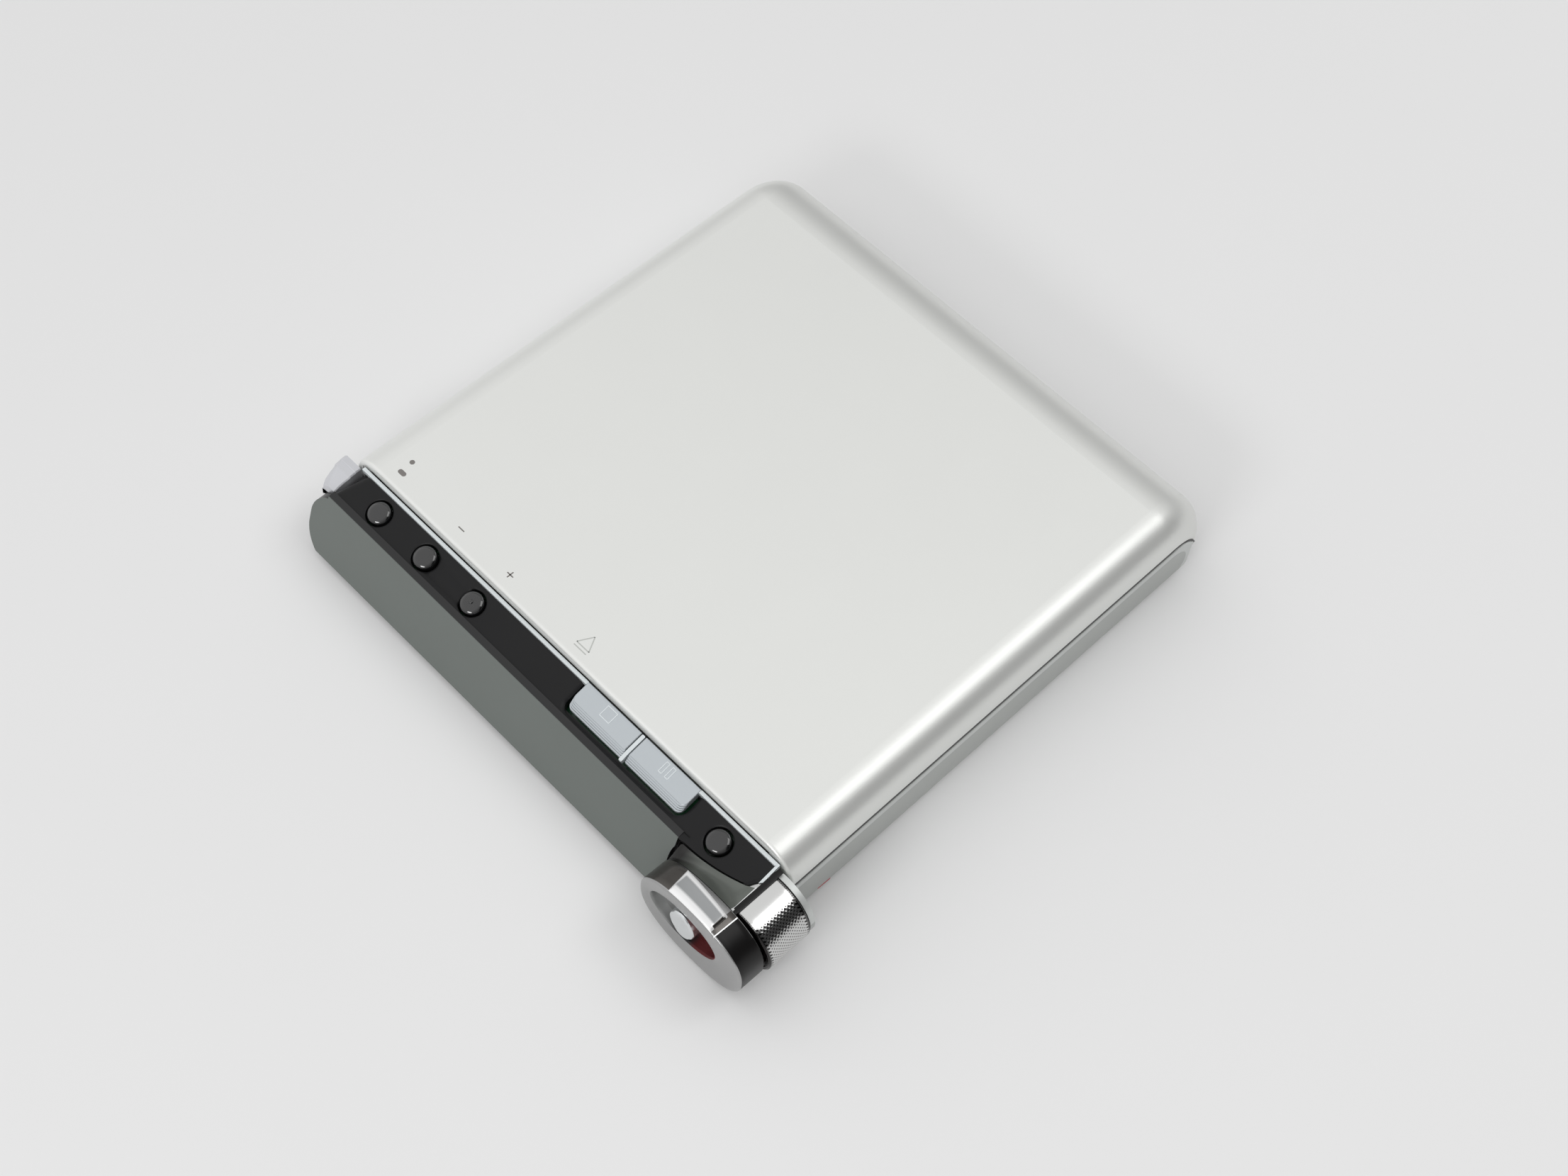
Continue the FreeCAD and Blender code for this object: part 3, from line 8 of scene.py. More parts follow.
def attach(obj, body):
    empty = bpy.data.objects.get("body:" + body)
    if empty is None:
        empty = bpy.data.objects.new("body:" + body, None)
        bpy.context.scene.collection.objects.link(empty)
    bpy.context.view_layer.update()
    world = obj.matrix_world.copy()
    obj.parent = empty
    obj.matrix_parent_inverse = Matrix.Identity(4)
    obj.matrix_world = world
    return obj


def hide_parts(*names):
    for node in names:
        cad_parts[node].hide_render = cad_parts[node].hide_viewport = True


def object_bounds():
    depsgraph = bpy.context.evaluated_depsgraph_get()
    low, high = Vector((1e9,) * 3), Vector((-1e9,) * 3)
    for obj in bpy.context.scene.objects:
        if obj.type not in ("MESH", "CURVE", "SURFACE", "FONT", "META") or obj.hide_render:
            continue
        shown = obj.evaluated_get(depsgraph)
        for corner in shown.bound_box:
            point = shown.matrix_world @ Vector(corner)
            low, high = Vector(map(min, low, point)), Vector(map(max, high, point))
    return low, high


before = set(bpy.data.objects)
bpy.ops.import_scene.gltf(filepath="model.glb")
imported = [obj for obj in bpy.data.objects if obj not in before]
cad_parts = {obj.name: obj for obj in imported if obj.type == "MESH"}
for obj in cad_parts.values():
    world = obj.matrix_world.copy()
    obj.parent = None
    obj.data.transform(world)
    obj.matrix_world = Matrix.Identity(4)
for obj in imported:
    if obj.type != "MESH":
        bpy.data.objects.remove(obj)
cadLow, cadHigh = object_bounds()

mm = 0.001
print("frame loaded:", len(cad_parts), "nodes")


# a value in a shader, so that masks and bumps read as sums
class Term:
    def __init__(self, finish, socket):
        self.finish = finish
        self.socket = socket

    def math(self, operation, *values):
        return self.finish.add("Math", {"operation": operation}, dict(enumerate(values)))

    def __add__(self, other):
        return self.math("ADD", self, other)

    def __radd__(self, other):
        return self.math("ADD", other, self)

    def __sub__(self, other):
        return self.math("SUBTRACT", self, other)

    def __rsub__(self, other):
        return self.math("SUBTRACT", other, self)

    def __mul__(self, other):
        return self.math("MULTIPLY", self, other)

    def __rmul__(self, other):
        return self.math("MULTIPLY", other, self)

    def __truediv__(self, other):
        return self.math("DIVIDE", self, other)

    def __rtruediv__(self, other):
        return self.math("DIVIDE", other, self)

    def __pow__(self, other):
        return self.math("POWER", self, other)

    def clamped(self):
        return self.finish.add("Clamp", {}, {0: self})


# one material and the nodes that make it
class Finish:
    def __init__(self, name):
        self.material = bpy.data.materials.new(name)
        self.material.use_nodes = True
        self.tree = self.material.node_tree
        self.tree.nodes.clear()
        self.place = self.add("TexCoord", out="Object")

    def add(self, kind, settings=None, sockets=None, out=0):
        node = self.tree.nodes.new("ShaderNode" + kind)
        for name, value in (settings or {}).items():
            setattr(node, name, value)
        for name, value in (sockets or {}).items():
            if isinstance(value, Term):
                self.tree.links.new(value.socket, node.inputs[name])
            else:
                node.inputs[name].default_value = value
        return Term(self, node.outputs[out])

    def noise(self, size, detail):
        spread = self.add("Mapping", {}, {"Vector": self.place, "Scale": (1 / (size * mm),) * 3})
        return self.add("TexNoise", {}, {"Vector": spread, "Scale": 1.0, "Detail": detail})

    def split(self, vector):
        return [self.add("SeparateXYZ", {}, {0: vector}, axis) for axis in "XYZ"]

    def blend(self, amount, low, high):
        return self.add("Mix", {"data_type": "RGBA"}, {0: amount, 6: low, 7: high}, 2)

    def bump(self, height, strength, distance):
        return self.add("Bump", {}, {"Height": height, "Strength": strength, "Distance": distance * mm})

    def done(self, **sockets):
        names = {"color": "Base Color", "rough": "Roughness", "metal": "Metallic", "coat": "Coat Weight",
                 "ior": "IOR", "normal": "Normal"}
        shader = self.add("BsdfPrincipled", {}, {names[key]: value for key, value in sockets.items()})
        output = self.tree.nodes.new("ShaderNodeOutputMaterial")
        self.tree.links.new(shader.socket, output.inputs["Surface"])
        return self.material


# a colour as it looks on screen, 0 to 255, turned into shader values
def tone(red, green, blue):
    shades = []
    for part in (red / 255, green / 255, blue / 255):
        shades.append(part / 12.92 if part < 0.04045 else ((part + 0.055) / 1.055) ** 2.4)
    return tuple(shades) + (1.0,)


# metal or plastic with a fine even grain, a slow drift of colour and a faint wear of its gloss
def grained(name, shade, metal=0.0, rough=0.4, grain=0.12, drift=0.04, lift=0.03, coat=0.0, mask=None,
            second=None, ior=1.5):
    finish = Finish(name)
    slow = finish.noise(9.0, 3)
    fine = finish.noise(grain, 1)
    dark = tuple(part * (1 - drift) for part in shade[:3]) + (1.0,)
    light = tuple(min(1.0, part * (1 + drift)) for part in shade[:3]) + (1.0,)
    color = finish.blend(slow * 0.6 + fine * 0.4, dark, light)
    if mask is not None:
        color = finish.blend(mask(finish), color, second)
    return finish.done(color=color, metal=metal, rough=rough + (fine - 0.5) * 0.06 + (slow - 0.5) * 0.04,
                       normal=finish.bump(fine, lift, grain), coat=coat, ior=ior)


# places in millimetres that the masks read, some of them shared with pieces
hinge = {"y": 35.4, "z": 3.6, "band": 3.95}
dialAxis = {"x": 40.3, "z": 6.9, "pit": 5.284}
window = {"offset": 44.382, "lean": 0.317}
hoodShadeFade = {"right": 32.2, "wide": 2.8}


# 1 on the case's upper wall and round the rim of its rear tongue, which get a lighter colour as painted
# light, while the lower wall keeps a darker one as painted shade
def litUpperWall(finish):
    x, y, z = finish.split(finish.place)
    rear = y.math("MAXIMUM", y / mm - hinge["y"], 0.0)
    away = (rear * rear + (z / mm - hinge["z"]) * (z / mm - hinge["z"])) ** 0.5
    return ((away - hinge["band"]) * 8.0).clamped()


# 1 on the sides of the window, 0 on its front
def windowSide(finish):
    x, y, z = finish.split(finish.place)
    return ((y / mm + window["offset"] - z / mm * window["lean"]) * 16.0 - 0.6).clamped()


# 1 at the hood's left end, 0 from its middle on; where it is 1 the hood is painted near-black as painted
# shade
def hoodShadeLeft(finish):
    return ((hoodShadeFade["right"] - finish.split(finish.place)[0] / mm) / hoodShadeFade["wide"]).clamped()


# 1 in the pits of the knurl, which are painted dark as painted shade
def groove(finish):
    x, y, z = finish.split(finish.place)
    across, up = x / mm - dialAxis["x"], z / mm - dialAxis["z"]
    return ((dialAxis["pit"] - (across * across + up * up) ** 0.5) * 160.0).clamped()


finishes = {
    "lid_metal": grained("lidMetal", tone(235, 236, 233), 0.5, 0.36, 0.09, 0.02, 0.12),
    # the case: darker on its lower wall and lighter on its upper wall and tongue rim, as painted shade and
    # painted light
    "case_metal": grained("caseMetal", tone(182, 185, 182), 0.35, 0.38, 0.09, 0.02, 0.08, mask=litUpperWall,
                          second=tone(210, 213, 211)),
    "cover_metal": grained("coverMetal", tone(190, 192, 190), 0.5, 0.4, 0.09, 0.02, 0.08),
    "bar_black": grained("barBlack", tone(24, 24, 25), 0.0, 0.42, 0.07, 0.25, 0.14, ior=1.32),
    "window_tint": grained("windowTint", tone(98, 104, 100), 0.0, 0.3, 0.1, 0.06, 0.02, mask=windowSide,
                           second=tone(24, 24, 25)),
    "trim_bright": grained("trimBright", tone(222, 228, 230), 0.45, 0.26, 0.08, 0.02, 0.01),
    "key_metal": grained("keyMetal", tone(192, 198, 202), 0.6, 0.34, 0.07, 0.02, 0.02),
    "button_black": grained("buttonBlack", tone(20, 20, 21), 0.0, 0.16, 0.1, 0.08, 0.01, 1.0),
    "jog_dark": grained("jogDark", tone(168, 168, 168), 0.9, 0.24, 0.08, 0.02, 0.008),
    "jog_key": grained("jogKey", tone(228, 231, 232), 0.85, 0.22, 0.08, 0.02, 0.01),
    # the hood: near-black painted shade at its left end
    "hood_dark": grained("hoodDark", tone(104, 108, 103), 0.35, 0.3, 0.08, 0.04, 0.008, mask=hoodShadeLeft,
                         second=tone(30, 29, 28)),
    # the dial: its knurl pits painted dark as painted shade
    "dial_bright": grained("dialBright", tone(212, 212, 211), 0.95, 0.16, 0.08, 0.02, 0.006, mask=groove,
                           second=tone(52, 50, 50)),
    "lever_grey": grained("leverGrey", tone(205, 206, 210), 0.3, 0.35, 0.08, 0.02, 0.03),
    "steel_sheet": grained("steelSheet", tone(176, 178, 178), 0.9, 0.34, 0.1, 0.05, 0.03),
    "steel_bright": grained("steelBright", tone(205, 206, 206), 0.95, 0.22, 0.1, 0.04, 0.02),
    "motor_can": grained("motorCan", tone(190, 188, 182), 0.9, 0.3, 0.15, 0.05, 0.03),
    "table_plastic": grained("tablePlastic", tone(48, 48, 50), 0.0, 0.4, 0.12, 0.1, 0.05),
    "sled_metal": grained("sledMetal", tone(150, 152, 156), 0.8, 0.42, 0.2, 0.08, 0.08),
    "lens_glass": grained("lensGlass", tone(86, 96, 128), 0.0, 0.08, 0.1, 0.04, 0.01, 0.8),
    "brass_part": grained("brassPart", tone(206, 170, 96), 0.95, 0.26, 0.1, 0.06, 0.04),
    "board_green": grained("boardGreen", tone(34, 92, 58), 0.0, 0.38, 0.3, 0.12, 0.06, 0.3),
    "chip_black": grained("chipBlack", tone(36, 37, 39), 0.0, 0.5, 0.1, 0.1, 0.08),
    "socket_black": grained("socketBlack", tone(30, 31, 32), 0.0, 0.38, 0.1, 0.1, 0.05),
    "socket_steel": grained("socketSteel", tone(186, 187, 188), 0.9, 0.28, 0.1, 0.05, 0.04),
    "cell_wrap": grained("cellWrap", tone(58, 66, 82), 0.0, 0.36, 0.2, 0.08, 0.04, 0.2),
    "module_grey": grained("moduleGrey", tone(64, 68, 62), 0.0, 0.3, 0.1, 0.05, 0.02),
    "flex_amber": grained("flexAmber", tone(176, 104, 36), 0.0, 0.34, 0.15, 0.08, 0.04),
    "rubber_black": grained("rubberBlack", tone(34, 34, 35), 0.0, 0.7, 0.12, 0.1, 0.12),
}
for name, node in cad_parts.items():
    for place in node.material_slots:
        key = place.material.name.split(".")[0]
        if key not in finishes:
            print("no finish for", name, key)
            continue
        place.material = finishes[key]
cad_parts["dial_bracket"].material_slots[0].material = finishes["case_metal"]
print("finishes made:", len(finishes))


# a mesh from points in millimetres, riding on a body and taking its finish from a slot
def piece(name, points, faces, body, slotName, finish=None, smooth=35, more=()):
    data = bpy.data.meshes.new(name)
    data.from_pydata([[part * mm for part in point] for point in points], [], faces)
    work = bmesh.new()
    work.from_mesh(data)
    bmesh.ops.remove_doubles(work, verts=work.verts, dist=1e-7)
    bmesh.ops.recalc_face_normals(work, faces=work.faces)
    work.to_mesh(data)
    work.free()
    data.shade_smooth()
    data.set_sharp_from_angle(angle=math.radians(smooth))
    data.materials.append(finish or finishes[slotName])
    for extra in more:
        data.materials.append(extra)
    made = bpy.data.objects.new(name, data)
    bpy.context.scene.collection.objects.link(made)
    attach(made, body)
    return made


# skins a row of loops that all have as many points
def loft(loops, firstCap=True, lastCap=True, closed=False):
    count = len(loops[0])
    points = [point for loop in loops for point in loop]
    faces = []
    rows = len(loops) if closed else len(loops) - 1
    for row in range(rows):
        low = row * count
        high = ((row + 1) % len(loops)) * count
        faces += [(low + i, low + (i + 1) % count, high + (i + 1) % count, high + i) for i in range(count)]
    if not closed and firstCap:
        faces.append(tuple(reversed(range(count))))
    if not closed and lastCap:
        faces.append(tuple(range((len(loops) - 1) * count, len(loops) * count)))
    return points, faces


# points round a rectangle with its own radius at each corner, anticlockwise from the low left corner
def roundedPlan(x0, x1, y0, y1, radii, steps=6):
    corners = [(x0, y0, 180), (x1, y0, 270), (x1, y1, 0), (x0, y1, 90)]
    loop = []
    for (x, y, start), radius in zip(corners, radii):
        middleX = x + radius * (1 if x == x0 else -1)
        middleY = y + radius * (1 if y == y0 else -1)
        for step in range(steps + 1):
            angle = math.radians(start + 90 * step / steps)
            loop.append((middleX + radius * math.cos(angle), middleY + radius * math.sin(angle)))
    return loop


# points round an oval between an ellipse (power 2) and a rectangle
def oval(middleX, middleY, halfX, halfY, power, count):
    loop = []
    for step in range(count):
        angle = 2 * math.pi * step / count
        across, up = math.cos(angle), math.sin(angle)
        loop.append((middleX + halfX * math.copysign(abs(across) ** (2 / power), across),
                     middleY + halfY * math.copysign(abs(up) ** (2 / power), up)))
    return loop


# the sloping button strip: across it, up its slope and out of its face
strip = {"crease": -40.8, "creaseHigh": 11.3, "tilt": 14.93, "sag": 0.28, "length": 6.0}
stripCos = math.cos(math.radians(strip["tilt"]))
stripSin = math.sin(math.radians(strip["tilt"]))


def onStrip(x, up, out):
    return (x, strip["crease"] + up * stripCos - out * stripSin,
            strip["creaseHigh"] + up * stripSin + out * stripCos)


def stripDish(up):
    middle = strip["length"] / 2
    return -strip["sag"] * max(0.0, 1 - ((up - middle) / middle) ** 2)


# ring that slides, its rim inserts and the thumb tab on its crown
ring = {"x": 36.35, "z": 7.05, "halfX": 8.65, "halfZ": 6.65, "power": 2.4, "front": -47.0, "rear": -43.12,
        "rearDrop": 0.5, "edge": 0.22, "dish": 0.22, "wellX": 34.8, "wellZ": 7.0, "wellHalfX": 5.5,
        "wellHalfZ": 3.45, "count": 144,
        "brownLeft": 32.6, "brownRight": 39.2, "blackRight": 40.28, "bare": 1.8, "redX": 36.6, "redZ": 6.0,
        "inside": 0.8}


# the ring's outline at a depth, smaller by an inset and lower by a drop
def ringLoop(inset, y, drop=0.0):
    return [(x, y, z) for x, z in oval(ring["x"], ring["z"] - drop / 2, ring["halfX"] - inset,
                                       ring["halfZ"] - inset - drop / 2, ring["power"], ring["count"])]


def wellLoop(inset, y):
    return [(x, y, z) for x, z in oval(ring["wellX"], ring["wellZ"], ring["wellHalfX"] - inset,
                                       ring["wellHalfZ"] - inset, 2.0, ring["count"])]


def mixLoops(first, second, share):
    return [tuple(a + (b - a) * share for a, b in zip(p, q)) for p, q in zip(first, second)]


ringRows = [ringLoop(0.5, ring["rear"], ring["rearDrop"]), ringLoop(0.12, ring["rear"], ring["rearDrop"]),
            ringLoop(0.0, ring["rear"] - 0.12, ring["rearDrop"])]
for share in (0.25, 0.5, 0.75):
    ringRows.append(ringLoop(0.0, ring["rear"] + (ring["front"] + ring["edge"] - ring["rear"]) * share,
                             ring["rearDrop"] * (1 - share)))
ringRows.append(ringLoop(0.0, ring["front"] + ring["edge"]))
for turn in (30, 60, 90):
    angle = math.radians(turn)
    ringRows.append(ringLoop(ring["edge"] * (1 - math.cos(angle)),
                             ring["front"] + ring["edge"] * (1 - math.sin(angle))))
faceEdge = ringLoop(ring["edge"], ring["front"])
wellEdge = wellLoop(-0.25, ring["front"] + ring["dish"])
for share in (0.12, 0.3, 0.5, 0.7, 0.88, 1.0):
    row = mixLoops(faceEdge, wellEdge, share)
    ringRows.append([(x, ring["front"] + ring["dish"] * share ** 1.6, z) for x, y, z in row])
for inset, deep in ((-0.12, 0.03), (-0.03, 0.12), (0.05, 0.4), (0.15, 0.9), (0.35, 1.3), (0.8, 1.42)):
    ringRows.append(wellLoop(inset, ring["front"] + ring["dish"] + deep))
ringPoints, ringFaces = loft(ringRows)
rimBlack = grained("rimBlack", tone(20, 19, 19), 0.0, 0.34, 0.08, 0.1, 0.01, ior=1.32)
rimBrown = grained("rimBrown", tone(92, 89, 86), 0.8, 0.24, 0.08, 0.06, 0.008)
wellFade = {"left": 33.6, "leftWide": 2.6, "right": 35.9, "rightWide": 0.9}


# 1 at the left of the ring's well, 0 by its button; where it is 1 the well's wall is painted pale as painted
# light
def wellLeft(finish):
    return ((wellFade["left"] - finish.split(finish.place)[0] / mm) / wellFade["leftWide"]).clamped()


# the well's wall: pale grey at the left as painted light where it faces the light, near-black towards the
# button, dark red at the right
well = Finish("wellDark")
wellX = well.split(well.place)[0] / mm
wellFine = well.noise(0.08, 1)
wellLitShade = well.blend(wellLeft(well), tone(30, 30, 31), tone(140, 141, 140))
wellRight = ((wellX - wellFade["right"]) / wellFade["rightWide"]).clamped()
wellDark = well.done(color=well.blend(wellRight, wellLitShade, tone(84, 14, 16)), metal=0.4,
                     rough=0.32 + wellFine * 0.08, normal=well.bump(wellFine, 0.01, 0.08))
wellRed = grained("wellRed", tone(112, 14, 18), 0.2, 0.3, 0.08, 0.1, 0.01)
jogRing = piece("jog_ring_shell", ringPoints, ringFaces, "ring", "jog_dark", smooth=40,
                more=(rimBlack, wellRed, rimBrown, wellDark))
for face in jogRing.data.polygons:
    middle = face.center / mm
    inRim = ring["front"] + 0.3 < middle.y < ring["rear"] - 0.02 and abs(face.normal.y) < 0.7
    acrossRing, upRing = (middle.x - ring["x"]) / ring["halfX"], (middle.z - ring["z"]) / ring["halfZ"]
    outside = acrossRing ** 2 + upRing ** 2 > ring["inside"]
    besideTab = middle.x > ring["brownRight"] or middle.x < ring["brownLeft"]
    if inRim and outside and besideTab and middle.z > ring["bare"]:
        face.material_index = 1 if middle.x > ring["blackRight"] else 3
    if not outside and middle.y > ring["front"] + ring["dish"] + 0.06:
        face.material_index = 4
        if middle.x > ring["redX"] and middle.z > ring["redZ"] and abs(face.normal.y) < 0.9:
            face.material_index = 2
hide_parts("jog_ring")

# thumb tab on the ring's crown: corners of its rear and front edges
tab = {"rear": ((31.9, -43.22), (39.5, -44.0)), "front": ((32.4, -46.88), (39.65, -46.9)), "top": 14.24,
       "steps": [(0.0, -0.2), (0.0, 0.0), (0.02, 0.14), (0.06, 0.23), (0.12, 0.28), (0.2, 0.3), (0.35, 0.28),
                 (0.5, 0.27), (0.65, 0.28), (0.8, 0.3), (0.87, 0.28), (0.93, 0.22), (0.98, 0.12), (1.0, 0.0),
                 (1.0, -0.2)],
       "endX": 39.25, "endFront": -46.4, "endRear": -44.3, "left": 32.0, "length": 7.6, "rearY": -43.25,
       "skew": 0.75, "deep": -3.65}


# height of the ring's crown at a place
def crown(x, y):
    share = (y - ring["front"]) / (ring["rear"] - ring["front"])
    drop = ring["rearDrop"] * share
    across = abs((x - ring["x"]) / ring["halfX"])
    bow = (1 - across ** ring["power"]) ** (1 / ring["power"])
    return ring["z"] - drop / 2 + (ring["halfZ"] - drop / 2) * bow


# a place on the tab, by its share along and across, raised above the crown
def tabPoint(along, across, rise):
    (x0, y0), (x1, y1) = [[a + (b - a) * along for a, b in zip(*tab[side])] for side in ("rear", "front")]
    x, y = x0 + (x1 - x0) * across, y0 + (y1 - y0) * across
    return (x, y, min(crown(x, y) + rise, tab["top"]))


tabRows = []
for step in range(41):
    along = step / 40
    ends = min(1.0, along / 0.06, (1 - along) / 0.05)
    tabRows.append([tabPoint(along, across, rise if rise < 0.02 else rise * max(0.0, ends) ** 0.5)
                    for across, rise in tab["steps"]])


# 0 on the tab's rim, 1 in its middle: the rim is painted white as a painted highlight, the middle grey as a
# painted reflection
def tabMiddle(finish):
    x, y, z = finish.split(finish.place)
    along = (x / mm - tab["left"]) / tab["length"]
    across = (y / mm - tab["rearY"] + along * tab["skew"]) / (tab["deep"] + along * tab["skew"])
    inRear = ((across - 0.15) * 14.0).clamped()
    inFront = ((0.74 - across) * 10.0).clamped()
    return inRear * inFront * ((along - 0.04) * 30.0).clamped()


# the tab: a painted highlight in white on its rim and a painted reflection in grey in its middle
tabPaintedGlint = grained("tabPaintedGlint", tone(248, 248, 248), 0.2, 0.22, 0.08, 0.01, 0.005, mask=tabMiddle,
                  second=tone(160, 162, 163))
tabPiece = piece("thumb_tab", *loft(tabRows), "ring", "trim_bright", finish=tabPaintedGlint, smooth=50,
                 more=(rimBrown,))
# the tab's right end takes the dark brown finish as painted shade
for face in tabPiece.data.polygons:
    middle = face.center / mm
    if middle.x > tab["endX"] and tab["endFront"] < middle.y < tab["endRear"]:
        face.material_index = 1
# near-white for thin chrome edges: the chrome's glint painted in as a painted highlight
chromeGlintLine = grained("chromeGlintLine", tone(246, 247, 247), 0.2, 0.22, 0.08, 0.01, 0.005)


# chrome line across the rim where its black insert starts, painted near-white as a painted highlight
def rimBand(name, x0, x1, lift):
    rows = []
    for step in range(9):
        y = ring["rear"] - 0.1 + (ring["front"] + 0.1 - ring["rear"]) * step / 8
        rows.append([(x0, y, crown(x0, y) - 0.3), (x0, y, crown(x0, y) + lift), (x1, y, crown(x1, y) + lift),
                     (x1, y, crown(x1, y) - 0.3)])
    return piece(name, *loft(rows), "ring", "trim_bright", finish=chromeGlintLine)


rimBand("rim_line_right", 40.18, 40.32, 0.03)

# button in the ring's well: an oval, nipped in above and below its middle
jogKey = {"x": 34.7, "z": 6.8, "halfX": 2.05, "halfZ": 2.95, "power": 1.75, "front": -46.88, "rear": -45.0,
          "count": 48, "steps": [(0.0, 0.22), (-0.08, 0.07), (-0.25, 0.0), (-0.9, 0.02), (-1.5, 0.1)],
          "notch": 0.1, "notchUp": 1.75, "notchHalf": 0.5}


def jogLoop(grow, y):
    loop = []
    for x, z in oval(jogKey["x"], jogKey["z"], jogKey["halfX"] + grow, jogKey["halfZ"] + grow,
                     jogKey["power"], jogKey["count"]):
        away = abs(abs(z - jogKey["z"]) - jogKey["notchUp"])
        notch = jogKey["notch"] * max(0.0, 1 - away / jogKey["notchHalf"])
        loop.append((x - math.copysign(notch, x - jogKey["x"]), y, z))
    return loop


jogRows = [jogLoop(0.0, jogKey["rear"])]
jogRows += [jogLoop(grow, jogKey["front"] + back) for grow, back in jogKey["steps"]]
jogButton = piece("jog_button_cap", *loft(jogRows), "jog_key", "jog_key", smooth=25)
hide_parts("jog_button")
print("ring and its button made")

# record level dial: pits in a diamond pattern, fading out towards its smooth crown
dial = {"x": dialAxis["x"], "z": dialAxis["z"], "radius": 5.3, "front": -42.74, "rear": -36.02,
        "cells": 60, "deep": 0.03, "rimFront": 0.3, "rimRear": 0.4, "chamfer": 0.25,
        "smoothTurn": 18, "fadeTurn": 10}


def dialPoint(angle, y, radius):
    return (dial["x"] + radius * math.sin(angle), y, dial["z"] + radius * math.cos(angle))


# 0 on the smooth crown, 1 where the pits have their full depth
def knurlShare(angle):
    turn = (math.degrees(angle) + 180) % 360 - 180
    return max(0.0, min(1.0, (abs(turn) - dial["smoothTurn"]) / dial["fadeTurn"]))


dialSides = dial["cells"] * 2
cellHalf = math.pi * dial["radius"] / dial["cells"]
knurlRows = int((dial["rear"] - dial["front"] - dial["rimFront"] - dial["rimRear"]) / cellHalf)
knurlStart = dial["front"] + dial["rimFront"]
rimRadius = dial["radius"] - 0.02


def dialLoop(y, radius):
    return [dialPoint(2 * math.pi * i / dialSides, y, radius) for i in range(dialSides)]


dialRows = [dialLoop(dial["front"] + back, radius) for back, radius in (
    (0.0, 1.0), (0.0, 3.6), (0.12, 3.8), (0.12, 4.6), (0.0, 4.75), (0.0, dial["radius"] - dial["chamfer"]),
    (dial["chamfer"] * 0.7, rimRadius), (dial["rimFront"], rimRadius))]
firstKnurl = len(dialRows)
for row in range(1, knurlRows + 1):
    loop = []
    for i in range(dialSides):
        angle = 2 * math.pi * i / dialSides
        low = (i + row) % 2 == 0
        radius = dial["radius"] - (dial["deep"] * knurlShare(angle) if low else 0.0)
        loop.append(dialPoint(angle, knurlStart + row * cellHalf, radius))
    dialRows.append(loop)
rimStart = knurlStart + (knurlRows + 1) * cellHalf
dialRows += [dialLoop(y, radius) for y, radius in (
    (rimStart, rimRadius), (dial["rear"] - 0.15, rimRadius), (dial["rear"], dial["radius"] - 0.18),
    (dial["rear"], 1.0))]
dialPoints, dialFaces = loft(dialRows)
cutFaces = []
for face in dialFaces:
    row = min(face) // dialSides
    if len(face) == 4 and firstKnurl <= row < firstKnurl + knurlRows - 1:
        first = face[0]
        if (first % dialSides + first // dialSides - firstKnurl + 1) % 2 == 0:
            cutFaces += [(face[1], face[2], face[3]), (face[1], face[3], face[0])]
        else:
            cutFaces += [(face[0], face[1], face[2]), (face[0], face[2], face[3])]
    else:
        cutFaces.append(face)
levelDial = piece("record_dial_knurled", dialPoints, cutFaces, "level_dial", "dial_bright", smooth=16)
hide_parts("record_dial")
print("dial made, knurl rows:", knurlRows)

# round buttons: a low dome with a soft shoulder
cap = {"display_button": -31.65, "volume_minus_button": -22.56, "volume_plus_button": -13.39,
       "track_mark_button": 31.44, "up": 3.0,
       "profile": [(1.64, -1.3), (1.64, -0.35), (1.62, -0.22), (1.58, -0.12), (1.52, -0.04), (1.42, 0.035),
                   (1.3, 0.11), (1.2, 0.16), (1.05, 0.205), (0.85, 0.228), (0.6, 0.236), (0.3, 0.24)],
       "dot": [(0.3, 0.2), (0.28, 0.34), (0.2, 0.4), (0.08, 0.43)]}


def turned(x, up, profile, count):
    turns = [(math.cos(2 * math.pi * i / count), math.sin(2 * math.pi * i / count)) for i in range(count)]
    return [[onStrip(x + radius * across, up + radius * along, out) for across, along in turns]
            for radius, out in profile]


for name, body in (("display_button", "display_key"), ("volume_minus_button", "minus_key"),
                   ("volume_plus_button", "plus_key"), ("track_mark_button", "mark_key")):
    rows = turned(cap[name], cap["up"], cap["profile"], 48)
    made = piece(name + "_cap", *loft(rows), body, "button_black", smooth=60)
    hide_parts(name)
dotRows = turned(cap["volume_plus_button"], cap["up"], cap["dot"], 20)
piece("volume_plus_dot", *loft(dotRows), "plus_key", "button_black", smooth=60)
print("round buttons made")

# stop and pause keys: a flat top, then treads stepping down towards the window
key = {"out": 0.17, "rear": 5.98, "flat": 3.0, "tread": 0.25, "step": 0.17, "steps": 4, "foot": -0.95,
       "edge": 0.07, "cornerOut": 0.85, "cornerIn": 0.2, "stop": (5.4, 15.05), "pause": (15.85, 25.5)}


